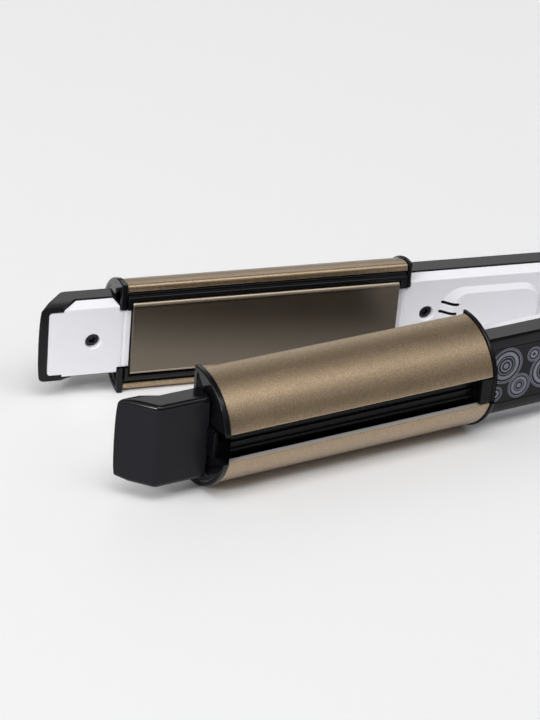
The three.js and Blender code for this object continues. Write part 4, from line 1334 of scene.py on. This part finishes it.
@dataclass(frozen=True)
class Handle:
    """White inner cover with its raised pad, black outer cover and dark inlay of a handle.

    The pad's rise lists shares of the way from its base outline to its top outline, and of its height.
    The slits are given from their tip's end. Each lies farther along than the one above it, by its lean
    for each millimetre between them. A bend under 1 makes a slit fall sooner. The lock's slack and the
    panel's starts are given for the fixed arm first, then for the moving one.
    """

    arm: Arm
    section: CoverSection = CoverSection(face_half=11.8, parting_out=5.9, parting_half=12.7)
    tongue_step: float = 155.3
    tongue_ramp: float = 1.1
    pad_base: Span = (107.1, 142.6)
    pad_top: Span = (108.3, 138.3)
    pad_base_half: float = 8.5
    pad_top_half: float = 6.4
    pad_corner: float = 7.5
    pad_height: float = 1.15
    pad_rise: tuple[Point, ...] = ((-0.12, -0.5), (0.0, 0.0), (0.1, 0.06), (0.9, 0.94), (1.0, 0.99),
                                   (1.08, 1.0))
    slit_width: float = 0.95
    slit_ends: Span = (142.0, 136.8)
    slit_heights: tuple[float, ...] = (3.6, 0.35, -2.9)
    slit_drop: float = 0.9
    slit_lean: float = 0.18
    slit_bend: float = 0.75
    slit_steps: int = 10
    slit_depth: Span = (-1.0, 4.2)
    slit_zone: Span = (1.0, 2.2)
    lock_along: Span = (26.0, 32.4)
    lock_up: Span = (4.0, 8.0)
    lock_back: float = 4.0
    lock_slack: Span = (0.4, 0.8)
    panel_starts: Span = (84.7, 62.7)
    panel_end: float = 150.7
    panel_half: float = 9.6
    panel_seat: float = 0.8
    panel_wall: float = 0.8
    panel_corner: float = 1.5
    panel_clear: float = 0.15
    panel_edge: float = 0.15
    outer_edge: float = 0.3

    def for_arm(self, pair: Span) -> float:
        """Value of a pair that holds for the fixed or for the moving arm."""
        return pair[0] if self.arm.side is Side.FIXED else pair[1]

    def pad(self) -> Blank:
        """Draws the raised pad: steep towards the hinge, and a long ramp towards the tip.

        Returns:
            Its form.
        """
        rings = []
        for share, rise in self.pad_rise:
            low = self.pad_base[0] + (self.pad_top[0] - self.pad_base[0]) * share
            high = self.pad_base[1] + (self.pad_top[1] - self.pad_base[1]) * share
            half = self.pad_base_half + (self.pad_top_half - self.pad_base_half) * share
            corner = self.pad_corner - (self.pad_base_half - half)
            outline = rounded(rectangle((low, high), about(half)), corner, steps=12)
            out = SHARED.inner_face - self.pad_height * rise
            rings.append([Axis.OUT.point(x, y, out) for x, y in outline])
        return Blank.lofted(rings)

    def slit(self, high: float) -> Blank:
        """Draws one slit with half-round ends, which bends down in a shallow S.

        Args:
            high: Height of its end nearer the tip.

        Returns:
            The tool that cuts it.
        """
        steps = self.slit_steps
        shift = (self.slit_heights[0] - high) * self.slit_lean
        length = self.slit_ends[1] - self.slit_ends[0]
        line = []
        for share in (i / steps for i in range(steps + 1)):
            ease = (1 - math.cos(math.pi * share ** self.slit_bend)) / 2
            line.append(Vector((self.slit_ends[0] + shift + length * share, high - self.slit_drop * ease)))
        left, right = [], []
        for i, here in enumerate(line):
            way = (line[min(i + 1, steps)] - line[max(i - 1, 0)]).normalized()
            aside = Vector((-way.y, way.x)) * (self.slit_width / 2)
            left.append(tuple(here + aside))
            right.append(tuple(here - aside))
        outline = []
        for side, end in ((left, line[-1]), (right[::-1], line[0])):
            outline += side
            edge = Vector(side[-1]) - end
            outline += [tuple(end + Matrix.Rotation(math.radians(turn), 2) @ edge)
                        for turn in (-45, -90, -135)]
        return Blank.slab(outline, Axis.OUT, self.slit_depth)

    def in_slit(self, centre: Vector, normal: Vector) -> bool:
        """Tells the walls of the slits from the rest of the cover.

        Args:
            centre: Centre of a face, in the arm's own frame in metres.
            normal: Its normal.

        Returns:
            Whether the face is a wall of a slit.
        """
        near, far = self.slit_zone
        is_wall = abs(normal.y) < SIDEWAYS
        is_along = (self.slit_ends[1] - near) * MM < -centre.x < (self.slit_ends[0] + far) * MM
        is_up = (self.slit_heights[-1] - far) * MM < centre.z < (self.slit_heights[0] + near) * MM
        return is_wall and is_along and is_up

    def lock_opening(self) -> Blank:
        """Draws the opening for the lock's leg, wider on the arm that its toe enters.

        Returns:
            The tool that cuts it.
        """
        slack = self.for_arm(self.lock_slack)
        return Blank.block((self.lock_along[0] - slack, self.lock_along[1]),
                           (SHARED.inner_face - PAST, self.lock_back),
                           (self.lock_up[0] - slack, self.lock_up[1] + slack))

    def build_inner_cover(self) -> None:
        """Makes the white cover."""
        wall = SHARED.inner_wall
        seat = ScrewSeat(SHARED.handle_screw)
        tongue = Tongue(SHARED.handle_end - PAST, SHARED.plate[0] - SHARED.gap, self.tongue_step,
                        self.tongue_ramp)
        form = self.section.run((SHARED.cover_start, SHARED.handle_end))
        form.cut(self.section.run((SHARED.cover_start + wall, SHARED.handle_end + PAST), wall, PAST))
        form.joined(tongue.form(), seat.boss(), self.pad())
        form.cut(*seat.tools(), self.lock_opening(), *(self.slit(high) for high in self.slit_heights))
        name = self.arm.node("handle_inner_cover")
        piece = self.arm.fit(form, name + "_white", WHITE_SATIN, "white", [name])
        # The walls of the slits get the painted shade.
        second_finish(piece, SLIT_SHADE, self.in_slit)

    def build_inlay(self) -> None:
        """Makes the dark inlay with its printed rings."""
        back = SHARED.handle_face - self.panel_seat
        clear = self.panel_clear
        corners = rectangle((self.for_arm(self.panel_starts) + clear, self.panel_end - clear),
                            about(self.panel_half - clear))
        form = Blank.slab(corners, Axis.OUT, (back, back + self.panel_wall), radii=self.panel_corner,
                          edge=self.panel_edge, steps=6)
        name = self.arm.node("inlay_panel")
        self.arm.fit(form, name + "_printed", INLAY_PRINT, "inlay", [name])

    def build(self) -> None:
        """Makes the covers, the inlay and the screw of the handle."""
        self.build_inner_cover()
        self.build_inlay()
        self.arm.fit_softened(self.arm.node("outer_cover"), BLACK_GLOSS, "black_gloss",
                              self.outer_edge)
        Screw(self.arm).build("handle_screw", SHARED.handle_screw)


# Tip


@dataclass(frozen=True)
class Tip:
    """Black cap with a slanted nose, and its white inner cover.

    The crown lists how far the cap's outline lies inside its drawing at each height, so that its faces
    bulge a little. Beside the white cover the cap is drawn in to the half height of its lip.
    """

    arm: Arm
    section: CoverSection = CoverSection(face_half=11.3, parting_out=4.6, parting_half=12.8)
    tongue_step: float = 248.9
    tongue_ramp: float = -1.1
    face_corner: float = 1.0
    face_to_nose: float = 3.4
    side_foot: float = 8.0
    side_slant: float = 4.4
    corner_cut: float = 1.4
    cap_half: float = 13.3
    cap_face: float = 12.3
    cap_face_length: float = 15.7
    cap_wall: float = 1.6
    nose_out: float = 1.7
    nose_round: float = 0.8
    bevel: float = 1.5
    bevel_steps: int = 6
    bevel_flat: float = 2.7
    crown: tuple[Point, ...] = ((0.72, 11.8), (0.50, 9.6), (0.34, 6.5), (0.27, 3.0), (0.25, 1.0))
    bend: float = 3.4
    overrun: float = 6.0
    neck_length: float = 11.0
    lap: float = 0.8
    lip_half: float = 12.5
    soft_edge: float = 0.22
    soft_angle: float = 50.0
    flat_tilt: float = 0.12

    def side_space(self, grow: float) -> Blank:
        """Draws the room of the white side walls, which end on a slant before the nose.

        Args:
            grow: Clearance round the walls.

        Returns:
            Its form.
        """
        start = SHARED.tip_cover_start - 2 * PAST
        foot = SHARED.tip_end - self.side_foot + grow
        face, back = SHARED.inner_face, self.section.parting_out + grow
        side = [(start, face - PAST), (foot, face - PAST), (foot, face), (foot - self.side_slant, back),
                (start, back)]
        return Blank.slab(side, Axis.UP, about(self.cap_half + PAST))

    def face_space(self, grow: float) -> Blank:
        """Draws the room of the white face in front of the side walls.

        Args:
            grow: Clearance round the face.

        Returns:
            Its form.
        """
        wall, face = SHARED.inner_wall, SHARED.inner_face
        half = self.section.face_half - wall / 2 + grow
        corner = self.face_corner + grow
        end = SHARED.tip_end - self.face_to_nose + grow
        return Blank.slab(rectangle((SHARED.cap_start, end), about(half)), Axis.OUT,
                          (face - grow, face + wall + grow), radii=[0.0, corner, corner, 0.0], steps=6)

    def build_inner_cover(self) -> None:
        """Makes the white cover."""
        start, end = SHARED.tip_cover_start, SHARED.tip_end
        face, back = SHARED.inner_face, self.section.parting_out + PAST
        face_half, wall = self.section.face_half, SHARED.inner_wall
        corner = self.corner_cut
        high = self.cap_half + PAST
        limits = doubled([(start, face_half), (start + corner, face_half + corner), (start + corner, high),
                          (end, high)])
        seat = ScrewSeat(SHARED.tip_screw)
        tongue = Tongue(SHARED.plate[1] + SHARED.gap, SHARED.cap_start, self.tongue_step, self.tongue_ramp)
        form = self.section.run((start - PAST, end))
        form.kept(self.side_space(0), Blank.slab(limits, Axis.OUT, (face - PAST, back)))
        form.joined(self.face_space(0))
        form.cut(Blank.block((start - PAST, end), (face + wall, back), about(face_half - wall)))
        form.joined(tongue.form(), seat.boss())
        form.cut(*seat.tools())
        name = self.arm.node("tip_inner_cover")
        self.arm.fit(form, name + "_white", WHITE_SATIN, "white", [name])

    def cap_form(self) -> Blank:
        """Draws the outside of the cap: rounded above and below, at the bend and at the nose.

        Returns:
            Its form, which runs on past the disc and past the white face.
        """
        far, below = SHARED.cap_start - self.overrun, SHARED.inner_face - self.overrun
        end, edge = SHARED.tip_end, self.bevel
        plan = [(far, self.cap_face), (SHARED.cap_start + self.cap_face_length, self.cap_face),
                (end, self.nose_out), (end, below), (far, below)]
        radii = [0.0, self.bend, self.nose_round, 0.0, 0.0]
        side = self.crown[0][0]
        turn = [(side + edge * (1 - math.cos(angle)), self.cap_half - edge * (1 - math.sin(angle)))
                for angle in (QUARTER * i / self.bevel_steps for i in range(self.bevel_steps, 0, -1))]
        rise = [(side + self.bevel_flat, self.cap_half), *turn, *self.crown]
        profile = [*rise, *((inset, -depth) for inset, depth in reversed(rise))]
        return Blank.slab(plan, Axis.UP, about(self.cap_half), radii=radii, profile=profile, steps=8)

    def is_flat(self, centre: Vector, normal: Vector) -> bool:
        """Tells the flat outer face and nose of the cap from its edges.

        Args:
            centre: Centre of a face, in the arm's own frame in metres.
            normal: Its normal.

        Returns:
            Whether the face belongs to them.
        """
        is_outside = abs(centre.y) > self.nose_out * MM
        return is_outside and abs(normal.z) < self.flat_tilt and abs(normal.y) > SIDEWAYS

    def build_cap(self) -> None:
        """Makes the cap."""
        far, below = SHARED.cap_start - self.overrun, SHARED.inner_face - self.overrun
        wall, face = self.cap_wall, self.cap_face
        back = self.section.parting_out
        face_end = SHARED.cap_start + self.cap_face_length - wall / 2
        nose_end = SHARED.tip_end - self.face_to_nose - wall / 2
        inside = [(far, face - wall), (face_end, face - wall), (nose_end, self.nose_out + wall),
                  (nose_end, below), (far, below)]
        hollow_half = self.section.face_half - SHARED.inner_wall / 2
        form = self.cap_form().narrowed(back, SHARED.inner_face, self.lip_half / self.cap_half)
        form.kept(Blank.block((SHARED.cap_start - self.lap, SHARED.tip_end + PAST),
                              (SHARED.inner_face, face + PAST), about(self.cap_half + PAST)))
        form.cut(self.side_space(SHARED.gap), self.face_space(SHARED.gap),
                 Blank.slab(inside, Axis.UP, about(hollow_half)),
                 Blank.block((far, SHARED.cap_start + self.neck_length + SHARED.gap),
                             (back, face - wall), about(self.cap_half - wall)))
        form.softened(self.soft_edge, angle=self.soft_angle)
        name = self.arm.node("tip_cap")
        piece = self.arm.fit(form, name + "_gloss", BLACK_GLOSS, "black_gloss", [name])
        second_finish(piece, BLACK_FACE, self.is_flat)

    def build(self) -> None:
        """Makes the cap, the cover and the screw of the tip."""
        self.build_cap()
        self.build_inner_cover()
        Screw(self.arm).build("tip_screw", SHARED.tip_screw)


# Pieces that keep the form of their nodes


@dataclass(frozen=True)
class Fittings:
    """Spines, hinge caps, swivel, controls and lock: CAD forms with their edges taken off."""

    fixed: Arm
    moving: Arm
    spine_edge: float = 0.2
    cap_edge: float = 0.5
    swivel_edge: float = 0.4
    lock_edge: float = 0.35
    button_edge: float = 0.25

    def build(self) -> None:
        """Makes them all."""
        for arm in (self.fixed, self.moving):
            arm.fit_softened(arm.node("spine"), BLACK_SATIN, "black_matte", self.spine_edge)
        for name in ("hinge_cap_upper", "hinge_cap_lower", "swivel_collar"):
            self.fixed.fit_softened(name, BLACK_GLOSS, "black_gloss", self.cap_edge)
        movers = {"cord_swivel": self.swivel_edge, "lock_slider": self.lock_edge,
                  "power_button": self.button_edge, "cooler_button": self.button_edge,
                  "warmer_button": self.button_edge}
        for name, edge in movers.items():
            self.fixed.fit_softened(name, BLACK_SATIN, "black_matte", edge, body=name)


@dataclass(frozen=True)
class Internals:
    """CAD nodes that keep their mesh and get a finish: single ones, and those that each arm has."""

    single: tuple[tuple[str, Finish], ...] = (
        ("hinge_pin", BRIGHT_STEEL), ("torsion_spring", BRIGHT_STEEL), ("supply_lead", INSULATION),
        ("circuit_board", BOARD_GREEN), ("indicator_lens", LAMP_RED))
    in_each_arm: tuple[tuple[str, Finish], ...] = (
        ("heater", CERAMIC), ("plate_cushion", SILICONE), ("thermal_fuse", CERAMIC),
        ("heater_lead", INSULATION))

    def dress(self) -> None:
        """Gives the nodes their finishes."""
        paired = [(f"{side.value}_{name}", finish) for side in Side for name, finish in self.in_each_arm]
        for name, finish in [*self.single, *paired]:
            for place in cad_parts[name].material_slots:
                place.material = material_of(finish)
            LOG.info("%s: finish %s", name, finish.name)


# Studio


@dataclass(frozen=True)
class Softbox:
    """Rectangular light that faces a point."""

    name: str
    place: tuple[float, float, float]
    size: Span
    radiance: float
    target: tuple[float, float, float]

    def build(self) -> None:
        """Makes the light."""
        lamp = bpy.data.lights.new(self.name, "AREA")
        lamp.shape = "RECTANGLE"
        lamp.size, lamp.size_y = self.size
        lamp.energy = self.radiance * math.pi * self.size[0] * self.size[1]
        holder = bpy.data.objects.new(self.name, lamp)
        holder.location = self.place
        way = Vector(self.target) - Vector(self.place)
        holder.rotation_euler = way.to_track_quat("-Z", "Y").to_euler()
        bpy.context.scene.collection.objects.link(holder)


@dataclass(frozen=True)
class WallPatch:
    """Round soft-edged patch of light on the studio's walls or ceiling, in degrees from its middle."""

    towards: tuple[float, float, float]
    core: float
    reach: float
    gain: float


@dataclass(frozen=True)
class Studio:
    """Pale floor, walls and ceiling with soft patches of light, and one strip light on the left.

    Wall and ceiling are levels of light. The one passes into the other over the heights of wall_top.
    """

    floor_colour: Colour = (0.90, 0.90, 0.905)
    floor_drift: float = 0.004
    floor_cloud: float = 160.0
    floor_roughness: float = 0.9
    floor_specular: float = 0.1
    floor_reach: float = 9.0
    wall: float = 0.10
    ceiling: float = 0.07
    wall_top: Span = (0.45, 0.75)
    patches: tuple[WallPatch, ...] = (
        WallPatch((-0.20, -0.35, 0.91), 8, 24, 3.75),
        WallPatch((0.20, -0.35, 0.91), 8, 24, 1.75),
        WallPatch((0.46, -0.55, 0.69), 8, 24, 0.50),
        WallPatch((0.71, -0.12, 0.69), 8, 24, 0.25),
        WallPatch((0.25, 0.68, 0.69), 8, 24, 0.45),
        WallPatch((-0.25, 0.68, 0.69), 8, 24, 0.25),
        WallPatch((-0.62, 0.36, 0.69), 8, 24, 0.60),
        WallPatch((-0.71, -0.12, 0.69), 8, 24, 0.95),
        WallPatch((0.31, 0.84, 0.45), 5, 19, 0.76),
        WallPatch((-0.93, 0.00, 0.37), 8, 24, 1.20),
        WallPatch((0.52, -0.34, 0.78), 3, 9, 2.00),
        WallPatch((-0.49, -0.19, 0.85), 2, 8, 0.60),
    )
    strip: Softbox = Softbox("edge_strip", (-1.6, -0.95, 0.95), (0.10, 0.40), 84.0, (-0.15, -0.02, 0.02))

    def build_floor(self) -> None:
        """Makes the floor."""
        work = bmesh.new()
        bmesh.ops.create_grid(work, x_segments=1, y_segments=1, size=self.floor_reach)
        mesh = bpy.data.meshes.new("floor")
        work.to_mesh(mesh)
        work.free()
        sheet = NodeSheet("floor_pale")
        sheet.fixed(Roughness=self.floor_roughness, Specular_IOR_Level=self.floor_specular)
        cloud = sheet.noise(self.floor_cloud)
        darker = lighter(self.floor_colour, -self.floor_drift)
        sheet.coloured(sheet.mixed(cloud, darker, self.floor_colour))
        mesh.materials.append(sheet.material)
        floor = bpy.data.objects.new("floor", mesh)
        bpy.context.scene.collection.objects.link(floor)

    def build_surroundings(self) -> None:
        """Makes the walls and the ceiling, which light the object from all sides."""
        world = bpy.data.worlds.new("studio")
        world.use_nodes = True
        bpy.context.scene.world = world
        tree = NodeTree(world.node_tree)
        way = tree.add("ShaderNodeTexCoord").outputs["Generated"]
        parts = tree.add("ShaderNodeSeparateXYZ")
        tree.link(way, parts.inputs["Vector"])
        level = tree.ranged(parts.outputs["Z"], self.wall_top, (self.wall, self.ceiling), soft=True)
        for patch in self.patches:
            aim = tree.add("ShaderNodeVectorMath", operation="DOT_PRODUCT")
            tree.link(way, aim.inputs[0])
            aim.inputs[1].default_value = Vector(patch.towards).normalized()
            rim, core = (math.cos(math.radians(angle)) for angle in (patch.reach, patch.core))
            share = tree.ranged(aim.outputs["Value"], (rim, core), (0.0, patch.gain), soft=True)
            level = tree.worked("ADD", level, share)
        tree.link(level, world.node_tree.nodes["Background"].inputs["Color"])

    def build(self) -> None:
        """Makes the floor, the surroundings and the strip light."""
        self.build_floor()
        self.build_surroundings()
        self.strip.build()
        LOG.info("light %s", self.strip.name)


@dataclass(frozen=True)
class PhotoCamera:
    """Camera at the photograph's place, in degrees and metres."""

    place: tuple[float, float, float] = (-0.46176, -0.65578, 0.36669)
    yaw: float = 21.758
    pitch: float = 26.964
    roll: float = 5.133
    lens_mm: float = 125.64
    sensor_mm: float = 36.0
    clip_start: float = 0.01

    def build(self) -> None:
        """Makes the camera and gives it to the scene."""
        yaw, pitch, roll = (math.radians(angle) for angle in (self.yaw, self.pitch, self.roll))
        ahead = Vector((math.sin(yaw) * math.cos(pitch), math.cos(yaw) * math.cos(pitch), -math.sin(pitch)))
        right = Vector((math.cos(yaw), -math.sin(yaw), 0))
        above = right.cross(ahead)
        across = right * math.cos(roll) + above * math.sin(roll)
        upright = above * math.cos(roll) - right * math.sin(roll)
        turn = Matrix((across, upright, -ahead)).transposed()
        data = bpy.data.cameras.new("photo_camera")
        data.lens = self.lens_mm
        data.sensor_width = self.sensor_mm
        data.clip_start = self.clip_start
        camera = bpy.data.objects.new("photo_camera", data)
        camera.matrix_world = Matrix.Translation(self.place) @ turn.to_4x4()
        bpy.context.scene.collection.objects.link(camera)
        bpy.context.scene.camera = camera


def main() -> None:
    """Builds the camera, the studio and the piece of each sub-assembly in order."""
    logging.basicConfig(level=logging.INFO, format="%(message)s")
    bpy.context.scene.view_settings.view_transform = "Standard"
    PhotoCamera().build()
    Studio().build()
    fixed = Arm(Side.FIXED, 0.0)
    moving = Arm(Side.MOVING, 12.0)
    for arm in (fixed, moving):
        for assembly in (Barrel(arm), PlateUnit(arm), Handle(arm), Tip(arm)):
            assembly.build()
    Fittings(fixed, moving).build()
    Internals().dress()


if __name__ == "__main__":
    main()
